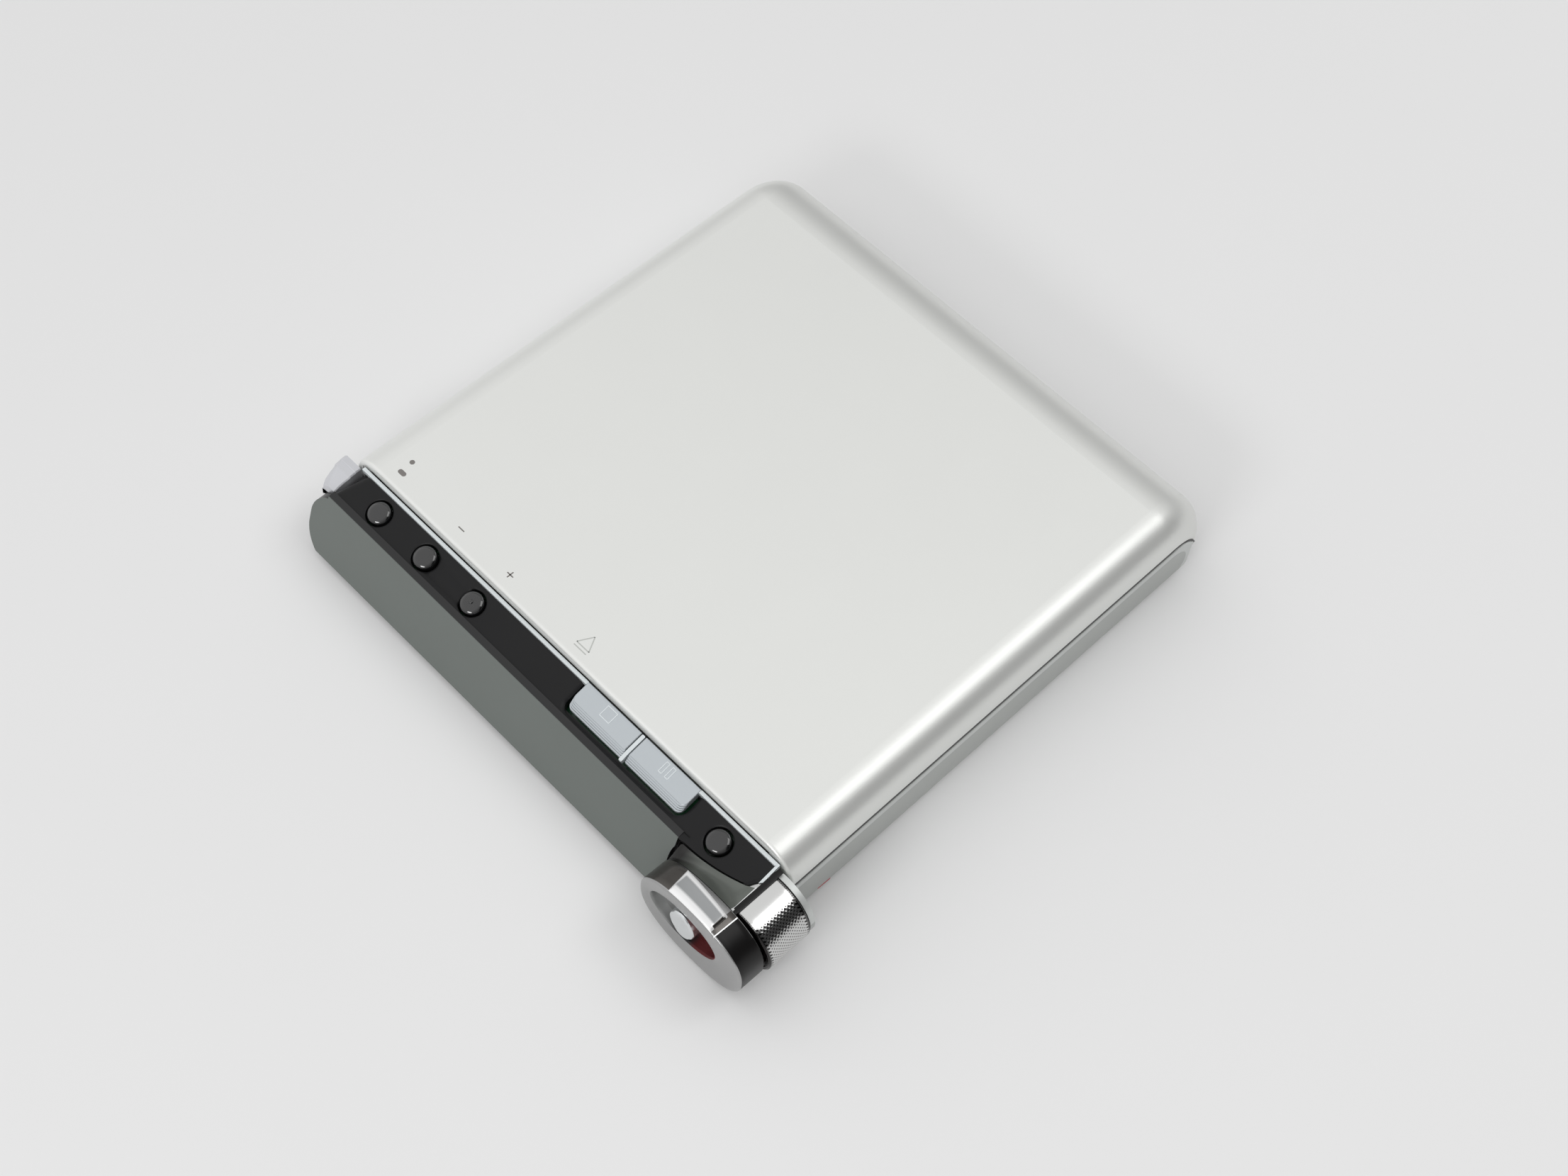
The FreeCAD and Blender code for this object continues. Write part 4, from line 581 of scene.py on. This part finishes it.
def keyPiece(name, x0, x1, leftRadius, rightRadius, body, node):
    def loop(inset, front, out, shrink):
        radii = [max(0.03, leftRadius - shrink), max(0.03, rightRadius - shrink), 0.08, 0.08]
        plan = roundedPlan(x0 + inset, x1 - inset, front, key["rear"] - inset, radii, 5)
        return [onStrip(x, up, out) for x, up in plan]
    rows = [loop(0.35, key["flat"] + 0.35, key["out"] + 0.02, 0.2),
            loop(key["edge"], key["flat"] + key["edge"], key["out"], 0.1),
            loop(0.0, key["flat"], key["out"] - key["edge"], 0.1)]
    for number in range(1, key["steps"] + 1):
        front = key["flat"] - number * key["tread"]
        out = key["out"] - number * key["step"]
        rows += [loop(0.0, front + key["tread"], out + 0.02, 0.05), loop(0.0, front + 0.08, out, 0.05),
                 loop(0.0, front, out - 0.07, 0.0)]
    rows.append(loop(0.0, key["flat"] - key["steps"] * key["tread"], key["foot"], 0.0))
    made = piece(name, *loft(rows), body, "key_metal", smooth=28)
    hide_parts(node)


keyPiece("stop_key_cap", *key["stop"], key["cornerOut"], key["cornerIn"], "stop_key", "stop_button")
keyPiece("pause_key_cap", *key["pause"], key["cornerIn"], key["cornerOut"], "pause_key", "pause_button")


# a thin raised outline on a key's flat top
def outline(name, x0, x1, up0, up1, wide, body):
    top = key["out"] + 0.045
    outer = roundedPlan(x0, x1, up0, up1, [0.06] * 4, 2)
    inner = roundedPlan(x0 + wide, x1 - wide, up0 + wide, up1 - wide, [0.03] * 4, 2)
    rows = [[onStrip(x, up, key["out"] - 0.02) for x, up in outer], [onStrip(x, up, top) for x, up in outer],
            [onStrip(x, up, top) for x, up in inner], [onStrip(x, up, key["out"] - 0.02) for x, up in inner]]
    return piece(name, *loft(rows, closed=True), body, "trim_bright")


outline("stop_mark", 9.45, 11.2, 3.95, 5.62, 0.11, "stop_key")
outline("pause_mark_left", 19.9, 20.5, 4.0, 5.65, 0.1, "pause_key")
outline("pause_mark_right", 20.98, 21.58, 4.0, 5.65, 0.1, "pause_key")
dividerRows = [[onStrip(x, up, out) for x, up in roundedPlan(15.2, 15.7, front, 5.95, [0.12] * 4, 3)]
               for front, out in ((1.7, -0.9), (1.7, -0.12), (1.78, -0.04), (2.6, 0.1), (3.3, 0.13))]
piece("key_divider", *loft(dividerRows), "case", "trim_bright")
print("keys made")

# the button strip: a dished black skin with bores, a groove between the volume buttons and the keys' well
skin = {"left": [(-38.6, 0.0), (-38.55, 0.93), (-38.35, 1.84), (-37.8, 3.6), (-37.2, 5.1), (-36.95, 5.45)],
        "right": 38.5, "rear": 5.45, "bore": 1.87, "seamX": 28.4, "seamY": -13.3, "seamRadius": 27.38,
        "wellLeft": 4.95, "wellRight": 26.0, "wellFront": 1.33, "wellRound": 1.9, "wellRoundLeft": 1.3,
        "grooveDeep": 0.3, "grooveHalf": 1.74, "lip": 0.3, "lipWide": 0.65, "roll": 1.1, "grid": 0.4,
        "deep": 1.2, "deepLeft": 2.6, "boreSides": 48, "frontX": 28.0, "seamSteps": 24,
        "gridLeft": -38.4, "gridRows": 14, "gridColumns": 195, "gridShift": 0.2}
bores = [(cap[name], cap["up"]) for name in ("display_button", "volume_minus_button", "volume_plus_button",
                                             "track_mark_button")]


def arcPoints(middleX, middleY, radius, start, stop, steps):
    angles = [math.radians(start + (stop - start) * i / steps) for i in range(steps + 1)]
    return [(middleX + radius * math.cos(angle), middleY + radius * math.sin(angle)) for angle in angles]


# points of the key well's front corners, at a distance outside them
def wellCorner(right, grow, steps):
    front = skin["wellFront"]
    if right:
        return arcPoints(skin["wellRight"] - rightRound, front + rightRound, rightRound + grow, 0, -90, steps)
    return arcPoints(skin["wellLeft"] + leftRound, front + leftRound, leftRound + grow, -90, -180, steps)


def boreLoop(x, up, grow):
    radius = skin["bore"] + grow
    turns = [2 * math.pi * i / skin["boreSides"] for i in range(skin["boreSides"])]
    return [(x + radius * math.cos(turn), up + radius * math.sin(turn)) for turn in turns]


# the curved seam between strip and hood
def seamLine(x, grow=0.0):
    return skin["seamY"] - math.sqrt((skin["seamRadius"] + grow) ** 2 - (x - skin["seamX"]) ** 2)


def subdivided(points, pitch):
    result = []
    for (x0, y0), (x1, y1) in zip(points, points[1:] + points[:1]):
        parts = max(1, int(math.hypot(x1 - x0, y1 - y0) / pitch))
        result += [(x0 + (x1 - x0) * i / parts, y0 + (y1 - y0) * i / parts) for i in range(parts)]
    return result


seamPlaces = [skin["seamX"] + (skin["right"] - skin["seamX"]) * i / skin["seamSteps"]
              for i in range(skin["seamSteps"] + 1)]
seamTrack = [(x, (seamLine(x) - strip["crease"]) / stripCos) for x in seamPlaces]
rightRound, leftRound = skin["wellRound"], skin["wellRoundLeft"]
outerTrack = [skin["left"][0], (skin["frontX"], 0.0)] + seamTrack
outerTrack += [(skin["right"], skin["rear"]), (skin["wellRight"], skin["rear"])]
outerTrack += wellCorner(True, 0.0, 10) + wellCorner(False, 0.0, 8)
outerTrack += [(skin["wellLeft"], skin["rear"])] + skin["left"][::-1][:-1]
outerTrack = subdivided(outerTrack, 0.3)
boreTracks = [boreLoop(x, up, 0.0) for x, up in bores]


# whether a place is inside a closed track
def insideTrack(x, up, track):
    hit = False
    for (x0, y0), (x1, y1) in zip(track, track[1:] + track[:1]):
        if (y0 > up) != (y1 > up) and x < (x1 - x0) * (up - y0) / (y1 - y0) + x0:
            hit = not hit
    return hit


# distance from the key well's edge, below zero inside it
def wellDistance(x, up):
    cornerRound = rightRound if x > 15 else leftRound
    middle = (skin["wellLeft"] + skin["wellRight"]) / 2
    half = (skin["wellRight"] - skin["wellLeft"]) / 2
    across = abs(x - middle) - half + cornerRound
    down = skin["wellFront"] + cornerRound - up
    return math.hypot(max(across, 0), max(down, 0)) + min(max(across, down), 0) - cornerRound


def trackDistance(x, up, track):
    best = 99.0
    for (x0, y0), (x1, y1) in zip(track, track[1:]):
        share = ((x - x0) * (x1 - x0) + (up - y0) * (y1 - y0)) / ((x1 - x0) ** 2 + (y1 - y0) ** 2)
        share = min(1.0, max(0.0, share))
        best = min(best, math.hypot(x - x0 - share * (x1 - x0), up - y0 - share * (y1 - y0)))
    return best


def soft(value):
    value = min(1.0, max(0.0, value))
    return value * value * (3 - 2 * value)


# height of the skin above the strip's plane
def skinHeight(x, up):
    height = stripDish(up)
    for boreX, boreUp in bores:
        away = math.hypot(x - boreX, up - boreUp) - skin["bore"]
        height -= 0.1 * max(0.0, 1 - away / 0.28) ** 2
    height -= skin["lip"] * max(0.0, 1 - wellDistance(x, up) / skin["lipWide"]) ** 2
    alongX = min(cap["volume_plus_button"], max(cap["volume_minus_button"], x))
    height -= skin["grooveDeep"] * soft((skin["grooveHalf"] - math.hypot(x - alongX, up - cap["up"])) / 0.75)
    leftAway = trackDistance(x, up, skin["left"])
    if leftAway < skin["roll"]:
        height -= skin["roll"] * (1 - math.sqrt(max(0.0, 1 - (1 - leftAway / skin["roll"]) ** 2)))
    height -= 0.07 * max(0.0, 1 - trackDistance(x, up, seamTrack) / 0.25) ** 2
    return height


flatPoints = list(outerTrack)
edges = [(i, (i + 1) % len(outerTrack)) for i in range(len(outerTrack))]
for track in boreTracks:
    start = len(flatPoints)
    flatPoints += track
    edges += [(start + i, start + (i + 1) % len(track)) for i in range(len(track))]
# extra points inside the outline, closer together where the skin bends
extra = []
for boreX, boreUp in bores:
    for grow in (0.1, 0.2, 0.32):
        extra += boreLoop(boreX, boreUp, grow)
for grow in (0.12, 0.26, 0.42, 0.65):
    extra += wellCorner(True, grow, 12) + wellCorner(False, grow, 10)
    extra += [(7.2 + 16.4 * i / 45, skin["wellFront"] - grow) for i in range(46)]
    sides = (skin["wellRight"] + grow, skin["wellLeft"] - grow)
    extra += [(side, 3.3 + 0.35 * i) for i in range(6) for side in sides]
for inset in (0.15, 0.35, 0.6, 0.9):
    extra += [(x + inset, up) for x, up in subdivided(skin["left"], 0.3)[:18]]
for row in range(1, skin["gridRows"]):
    for column in range(skin["gridColumns"]):
        extra.append((skin["gridLeft"] + column * skin["grid"] + skin["gridShift"] * (row % 2),
                      row * skin["grid"] + 0.02))
for x, up in extra:
    if not insideTrack(x, up, outerTrack) or trackDistance(x, up, outerTrack + outerTrack[:1]) < 0.06:
        continue
    if min(math.hypot(x - boreX, up - boreUp) for boreX, boreUp in bores) < skin["bore"] + 0.06:
        continue
    flatPoints.append((x, up))
solved = delaunay_2d_cdt([Vector(point) for point in flatPoints], edges, [], 0, 1e-5, False)
skinPoints = [onStrip(x, up, skinHeight(x, up)) for x, up in solved[0]]
skinFaces = []
for face in solved[2]:
    middleX = sum(solved[0][i].x for i in face) / 3
    middleUp = sum(solved[0][i].y for i in face) / 3
    if insideTrack(middleX, middleUp, outerTrack) and all(
            math.hypot(middleX - boreX, middleUp - boreUp) > skin["bore"] * 0.998 for boreX, boreUp in bores):
        skinFaces.append(tuple(face))
# walls going down from the outline and from the bores
for track in [outerTrack] + boreTracks:
    start = len(skinPoints)
    count = len(track)
    for x, up in track:
        deep = skin["deepLeft"] if trackDistance(x, up, skin["left"]) < 0.05 else skin["deep"]
        skinPoints += [onStrip(x, up, skinHeight(x, up)), onStrip(x, up, skinHeight(x, up) - deep)]
    for i in range(count):
        j = (i + 1) % count
        skinFaces.append((start + 2 * i, start + 2 * j, start + 2 * j + 1, start + 2 * i + 1))
piece("button_strip", skinPoints, skinFaces, "case", "bar_black", smooth=45)

# the rest of the bar, from its solid, without the flat and the bores that the skin stands for
bar = {"near": 0.03, "boreDeep": -1.1, "front": -40.6, "wedgeX": -38.3, "wedgeLow": 8.2}
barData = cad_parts["front_bar"].data.copy()
barWork = bmesh.new()
barWork.from_mesh(barData)
stripOut = Vector((0, -stripSin, stripCos))


# millimetres above the strip's plane
def outOfStrip(point):
    return (point.y / mm - strip["crease"]) * -stripSin + (point.z / mm - strip["creaseHigh"]) * stripCos


gone = []
for face in barWork.faces:
    middle = face.calc_center_median()
    lean = face.normal.dot(stripOut)
    onFlat = lean > 0.999 and abs(outOfStrip(middle)) < bar["near"]
    wall = abs(lean) < 0.35 and all(outOfStrip(vert.co) > bar["boreDeep"] for vert in face.verts)
    wedge = (abs(middle.x / mm - bar["wedgeX"]) < 0.05 and middle.z / mm > bar["wedgeLow"]
             and abs(face.normal.x) > 0.9)
    if onFlat or (wall and middle.y / mm > bar["front"]) or wedge:
        gone.append(face)
bmesh.ops.delete(barWork, geom=gone, context="FACES")
barWork.to_mesh(barData)
barWork.free()
barBody = bpy.data.objects.new("bar_body", barData)
bpy.context.scene.collection.objects.link(barBody)
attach(barBody, "case")
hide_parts("front_bar")
print("button strip made:", len(skinFaces), "faces")

# dark chrome hood from the seam to the ring's back
hood = {"front": -42.98, "right": 38.98, "sag": 0.5, "clear": 0.14, "low": 5.0, "columns": 44, "rows": 14,
        "inset": 0.16, "left": 27.95, "bow": 0.45, "corner": 0.28, "cornerHigh": 11.15, "startTurn": 196,
        "stopTurn": 68, "full": 0.62, "frontRight": 39.15,
        "shade": [(38.98, 12.2), (38.98, 12.42), (39.55, 12.44), (39.72, 12.36), (39.72, 12.26)]}


# the hood's rear edge: up beside the strip's end, then along the seam
def hoodBack(share):
    if share < hood["corner"]:
        return (hood["left"] + hood["bow"] * (share / hood["corner"]) ** 2, -41.0,
                hood["low"] + (hood["cornerHigh"] - hood["low"]) * share / hood["corner"])
    x = skin["seamX"] + (hood["right"] - skin["seamX"]) * (share - hood["corner"]) / (1 - hood["corner"])
    y = seamLine(x, 0.22)
    return (x, y, strip["creaseHigh"] + (y - strip["crease"]) * stripSin / stripCos - 0.05)


# its front edge, which follows the ring
def hoodFront(share):
    start, stop = math.radians(hood["startTurn"]), math.radians(hood["stopTurn"])
    angle = start + (stop - start) * min(1.0, share / hood["full"])
    across, up = math.cos(angle), math.sin(angle)
    halfX, halfZ = ring["halfX"] - hood["inset"], ring["halfZ"] - ring["rearDrop"] / 2 - hood["inset"] - 0.2
    x = ring["x"] + halfX * math.copysign(abs(across) ** (2 / ring["power"]), across)
    z = ring["z"] - ring["rearDrop"] / 2 + halfZ * math.copysign(abs(up) ** (2 / ring["power"]), up)
    return (x, hood["front"], z)


frontTrack = [hoodFront(hood["full"] * i / 200) for i in range(201)]
frontTrack = [point for point in frontTrack if point[0] < hood["frontRight"]]
hoodRows = []
for column in range(hood["columns"] + 1):
    share = column / hood["columns"]
    back = hoodBack(share)
    front = frontTrack[min(len(frontTrack) - 1, int(share * (len(frontTrack) - 1)))]
    row = []
    for step in range(hood["rows"] + 1):
        along = step / hood["rows"]
        fall = hood["sag"] * 4 * along * (1 - along) * soft((share - 0.2) / 0.3)
        x = back[0] + (front[0] - back[0]) * along
        overDial = max(0.0, (dial["radius"] + hood["clear"]) ** 2 - (x - dial["x"]) ** 2) ** 0.5 + dial["z"]
        row.append((x, back[1] + (front[1] - back[1]) * along,
                    max(back[2] + (front[2] - back[2]) * along ** 1.25 - fall, overDial)))
    row.append((row[-1][0], row[-1][1], row[-1][2] - 0.9))
    row.insert(0, (row[0][0], row[0][1], row[0][2] - 0.9))
    hoodRows.append(row)
hoodCount = hood["rows"] + 3
hoodPoints = [point for row in hoodRows for point in row]
hoodFaces = [(c * hoodCount + r, (c + 1) * hoodCount + r, (c + 1) * hoodCount + r + 1, c * hoodCount + r + 1)
             for c in range(hood["columns"]) for r in range(hoodCount - 1)]
endWall = len(hoodPoints)
hoodPoints += [(x, y, z - 1.4) for x, y, z in hoodRows[-1]]
last = hood["columns"] * hoodCount
hoodFaces += [(last + r, endWall + r, endWall + r + 1, last + r + 1) for r in range(hoodCount - 1)]
hoodPiece = piece("jog_hood", hoodPoints, hoodFaces, "case", "hood_dark", smooth=40)
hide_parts("jog_housing")
# the hood's right edge: a chrome bevel with its glint painted near-white as a painted highlight
edgeRows = []
for x, y, z in hoodRows[-1][1:-1]:
    edgeRows.append([(x - 0.2, y, z - 0.15), (x - 0.2, y, z + 0.03), (x + 0.1, y, z + 0.01),
                     (x + 0.14, y, z - 0.3)])
piece("hood_edge", *loft(edgeRows), "case", "trim_bright", finish=chromeGlintLine, smooth=30)
# a black lip over the dial, between hood and dial, standing for the shadow in that gap: painted shadow
gapShadowRows = [[(x, y, z) for x, z in hood["shade"]] for y in (-35.25, -37.0, -39.0, -41.0, -42.95)]
piece("dial_gap_shadow", *loft(gapShadowRows), "case", "rubber_black", finish=rimBlack, smooth=30)
print("hood made")

# open lever: a flat crown beside the lid, falling away to the front
lever = {"in": -38.75, "out": -42.05, "low": 8.45,
         "stations": [(-35.1, 11.6, 0.45), (-35.95, 11.6, 0.45), (-36.05, 11.52, 0.5), (-36.85, 11.45, 0.55),
                      (-37.0, 11.3, 0.7), (-37.9, 10.95, 1.0), (-38.8, 10.4, 1.3), (-39.35, 9.9, 1.5),
                      (-39.6, 9.3, 1.8)]}
leverRows = []
for y, top, bevel in lever["stations"]:
    inner = lever["in"] - 0.2 * max(0.0, -37.0 - y)
    outer = lever["out"] + 0.22 * max(0.0, -38.4 - y) ** 2
    leverRows.append([(inner, y, lever["low"]), (inner, y, top - 0.15), (inner - 0.15, y, top),
                      (outer + bevel, y, top - 0.02), (outer + 0.25, y, top - bevel * 0.55),
                      (outer, y, top - bevel * 1.15), (outer + 0.1, y, lever["low"])])
leverPiece = piece("open_lever_cap", *loft(leverRows), "lever", "lever_grey", smooth=22)
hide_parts("open_lever")

# black strip in the joint between lid and case, along both sides and round the rear tongue, standing for the
# shade in that gap: painted shadow
jointShadow = {"near": 5.5, "thin": 0.3, "far": 5.97, "front": -34.3, "low": 8.95, "high": 9.53,
        "start": 86, "stop": 22, "right": (39.95, 40.87), "left": (-40.6, -39.95)}


def jointShadowPiece(name, x0, x1):
    track = [(jointShadow["front"], jointShadow["low"], jointShadow["high"]), (hinge["y"], jointShadow["low"], jointShadow["high"])]
    rows = [[(x0, y, low), (x0, y, high), (x1, y, high), (x1, y, low)] for y, low, high in track]
    for turn in range(jointShadow["start"], jointShadow["stop"], -4):
        angle = math.radians(turn)
        across, up = math.cos(angle), math.sin(angle)
        near = jointShadow["near"] + jointShadow["thin"] * (jointShadow["start"] - turn) / (jointShadow["start"] - jointShadow["stop"])
        rows.append([(x, hinge["y"] + reach * across, hinge["z"] + reach * up)
                     for x, reach in ((x0, near), (x0, jointShadow["far"]), (x1, jointShadow["far"]), (x1, near))])
    piece(name, *loft(rows), "case", "rubber_black", finish=rimBlack, smooth=30)


jointShadowPiece("seam_shadow_right", *jointShadow["right"])
jointShadowPiece("seam_shadow_left", *jointShadow["left"])

# red line beside the level dial, on the right wall
rightWall = {"x": 40.955, "thick": 0.1, "wide": 0.28,
             "line": [(-29.74, 1.67), (-28.6, 1.55), (-27.56, 1.42)]}
redInk = grained("redInk", tone(196, 60, 66), 0.0, 0.5, 0.1, 0.05, 0.02)


# a stroke laid on the right wall
def wallStroke(name, track, wide, finish):
    rows = []
    beyond = (2 * track[-1][0] - track[-2][0], 2 * track[-1][1] - track[-2][1])
    inside = rightWall["x"] - rightWall["thick"]
    for (y0, z0), (y1, z1) in zip(track, track[1:] + [beyond]):
        long = math.hypot(y1 - y0, z1 - z0)
        sideY, sideZ = -(z1 - z0) / long * wide / 2, (y1 - y0) / long * wide / 2
        rows.append([(x, y0 + side * sideY, z0 + side * sideZ)
                     for x, side in ((rightWall["x"], 1), (rightWall["x"], -1), (inside, -1), (inside, 1))])
    piece(name, *loft(rows), "case", "case_metal", finish=finish, smooth=30)


wallStroke("level_line", rightWall["line"], rightWall["wide"], redInk)

# marks printed on the lid beside the buttons
marks = {"top": 14.302, "line": 0.17, "dot": (-33.5, -30.6), "dotRadius": 0.36}
markInk = grained("markInk", tone(126, 122, 119), 0.0, 0.5, 0.1, 0.05, 0.02)
markPale = grained("markPale", tone(196, 198, 194), 0.3, 0.4, 0.1, 0.04, 0.02)


def mark(name, outlinePoints, finish=markInk):
    low = [(x, y, marks["top"] - 0.05) for x, y in outlinePoints]
    high = [(x, y, marks["top"]) for x, y in outlinePoints]
    return piece(name, *loft([low, high]), "lid", "lid_metal", finish=finish, smooth=20)


dotTurns = [2 * math.pi * i / 24 for i in range(24)]
mark("mark_dot", [(marks["dot"][0] + marks["dotRadius"] * math.cos(turn),
                   marks["dot"][1] + marks["dotRadius"] * math.sin(turn)) for turn in dotTurns])
mark("mark_pill", roundedPlan(-33.75, -32.45, -32.95, -32.25, [0.34] * 4, 6))
mark("mark_minus", roundedPlan(-21.95, -20.85, -32.69, -32.51, [0.05] * 4, 2))
mark("mark_plus_bar", roundedPlan(-12.65, -11.55, -32.6, -32.42, [0.05] * 4, 2))
mark("mark_plus_post", roundedPlan(-12.19, -12.01, -33.06, -31.96, [0.05] * 4, 2))
mark("mark_eject_bar", roundedPlan(0.7, 2.9, -33.35, -33.18, [0.04] * 4, 2), markPale)
half = marks["line"] / 2


def markLine(name, x0, y0, x1, y1):
    long = math.hypot(x1 - x0, y1 - y0)
    sideX, sideY = -(y1 - y0) / long * half, (x1 - x0) / long * half
    mark(name, [(x0 + sideX, y0 + sideY), (x0 - sideX, y0 - sideY),
                (x1 - sideX, y1 - sideY), (x1 + sideX, y1 + sideY)], markPale)


markLine("mark_eject_left", 0.7, -32.78, 1.8, -30.75)
markLine("mark_eject_right", 1.8, -30.75, 2.9, -32.78)
markLine("mark_eject_foot", 0.66, -32.78, 2.94, -32.78)
print("marks made")

# floor, light and camera
room = {"floor": 3.0, "floorDark": tone(238, 238, 238), "floorPale": tone(240, 240, 240),
        "wall": tone(226, 226, 226), "above": 0.92, "side": 0.56, "low": 0.32, "lean": (-0.5, -0.2, 0.84),
        "patch": (0.807, 0.40, 0.434), "patchStops": [(0.80, 1.0), (0.91, 0.02)],
        "rearPatch": (-0.621, 0.752, 0.22), "rearStops": [(0.78, 1.0), (0.95, 0.5)]}
floorMesh = bmesh.new()
bmesh.ops.create_grid(floorMesh, x_segments=8, y_segments=8, size=room["floor"] / 2)
floorData = bpy.data.meshes.new("floor")
floorMesh.to_mesh(floorData)
floor = bpy.data.objects.new("floor", floorData)
bpy.context.scene.collection.objects.link(floor)
floor.location.z = cadLow.z - 0.00005
paper = Finish("paleFloor")
paperShade = paper.blend(paper.noise(60, 2), room["floorDark"], room["floorPale"])
floorData.materials.append(paper.done(color=paperShade, rough=0.7))

world = bpy.data.worlds.new("softRoom")
bpy.context.scene.world = world
world.use_nodes = True
sky = world.node_tree
sky.nodes.clear()
skyPlace = sky.nodes.new("ShaderNodeTexCoord")
skyLight = sky.nodes.new("ShaderNodeBackground")
skyOut = sky.nodes.new("ShaderNodeOutputWorld")


# brightness of the room by how far a direction leans along an axis
def skyShade(axis, stops):
    lean = sky.nodes.new("ShaderNodeVectorMath")
    lean.operation = "DOT_PRODUCT"
    lean.inputs[1].default_value = axis
    sky.links.new(skyPlace.outputs["Generated"], lean.inputs[0])
    shades = sky.nodes.new("ShaderNodeValToRGB")
    while len(shades.color_ramp.elements) < len(stops):
        shades.color_ramp.elements.new(0.5)
    for stop, (spot, shade) in zip(shades.color_ramp.elements, stops):
        stop.position = spot
        stop.color = (shade, shade, shade, 1)
    sky.links.new(lean.outputs["Value"], shades.inputs[0])
    return shades.outputs[0]


skyTotal = skyShade(room["lean"], [(0.02, room["low"]), (0.3, room["side"]), (0.7, room["above"])])
for shade in (skyShade(room["patch"], room["patchStops"]), skyShade(room["rearPatch"], room["rearStops"])):
    product = sky.nodes.new("ShaderNodeMath")
    product.operation = "MULTIPLY"
    sky.links.new(skyTotal, product.inputs[0])
    sky.links.new(shade, product.inputs[1])
    skyTotal = product.outputs[0]
# the camera itself sees a plain pale wall
seen = sky.nodes.new("ShaderNodeLightPath")
plain = sky.nodes.new("ShaderNodeMix")
plain.data_type = "RGBA"
plain.inputs[7].default_value = room["wall"]
sky.links.new(seen.outputs["Is Camera Ray"], plain.inputs[0])
sky.links.new(skyTotal, plain.inputs[6])
sky.links.new(plain.outputs[2], skyLight.inputs[0])
sky.links.new(skyLight.outputs[0], skyOut.inputs[0])


# a rectangular lamp turned to a place
def softLight(name, place, aim, wide, high, power):
    data = bpy.data.lights.new(name, "AREA")
    data.shape = "RECTANGLE"
    data.size = wide
    data.size_y = high
    data.energy = power
    lamp = bpy.data.objects.new(name, data)
    lamp.location = place
    lamp.rotation_euler = (Vector(aim) - Vector(place)).to_track_quat("-Z", "Y").to_euler()
    bpy.context.scene.collection.objects.link(lamp)


softLight("backSoft", (0.35, 0.35, 0.75), (0, 0, 0), 0.5, 0.38, 1.25)
softLight("frontSoft", (0.12, -0.66, 0.36), (0, 0, 0), 0.3, 0.12, 1.1)

view = {"lens": 51.50365, "sensor": 36, "place": (0.10950088, -0.12156010, 0.25311616),
        "turn": (31.81887248, -3.08555965, 45.62454941)}
cameraData = bpy.data.cameras.new("camera")
cameraData.lens = view["lens"]
cameraData.sensor_width = view["sensor"]
camera = bpy.data.objects.new("camera", cameraData)
camera.location = view["place"]
camera.rotation_euler = [math.radians(angle) for angle in view["turn"]]
bpy.context.scene.collection.objects.link(camera)
bpy.context.scene.camera = camera
bpy.context.scene.view_settings.view_transform = "Standard"
print("light and camera set")
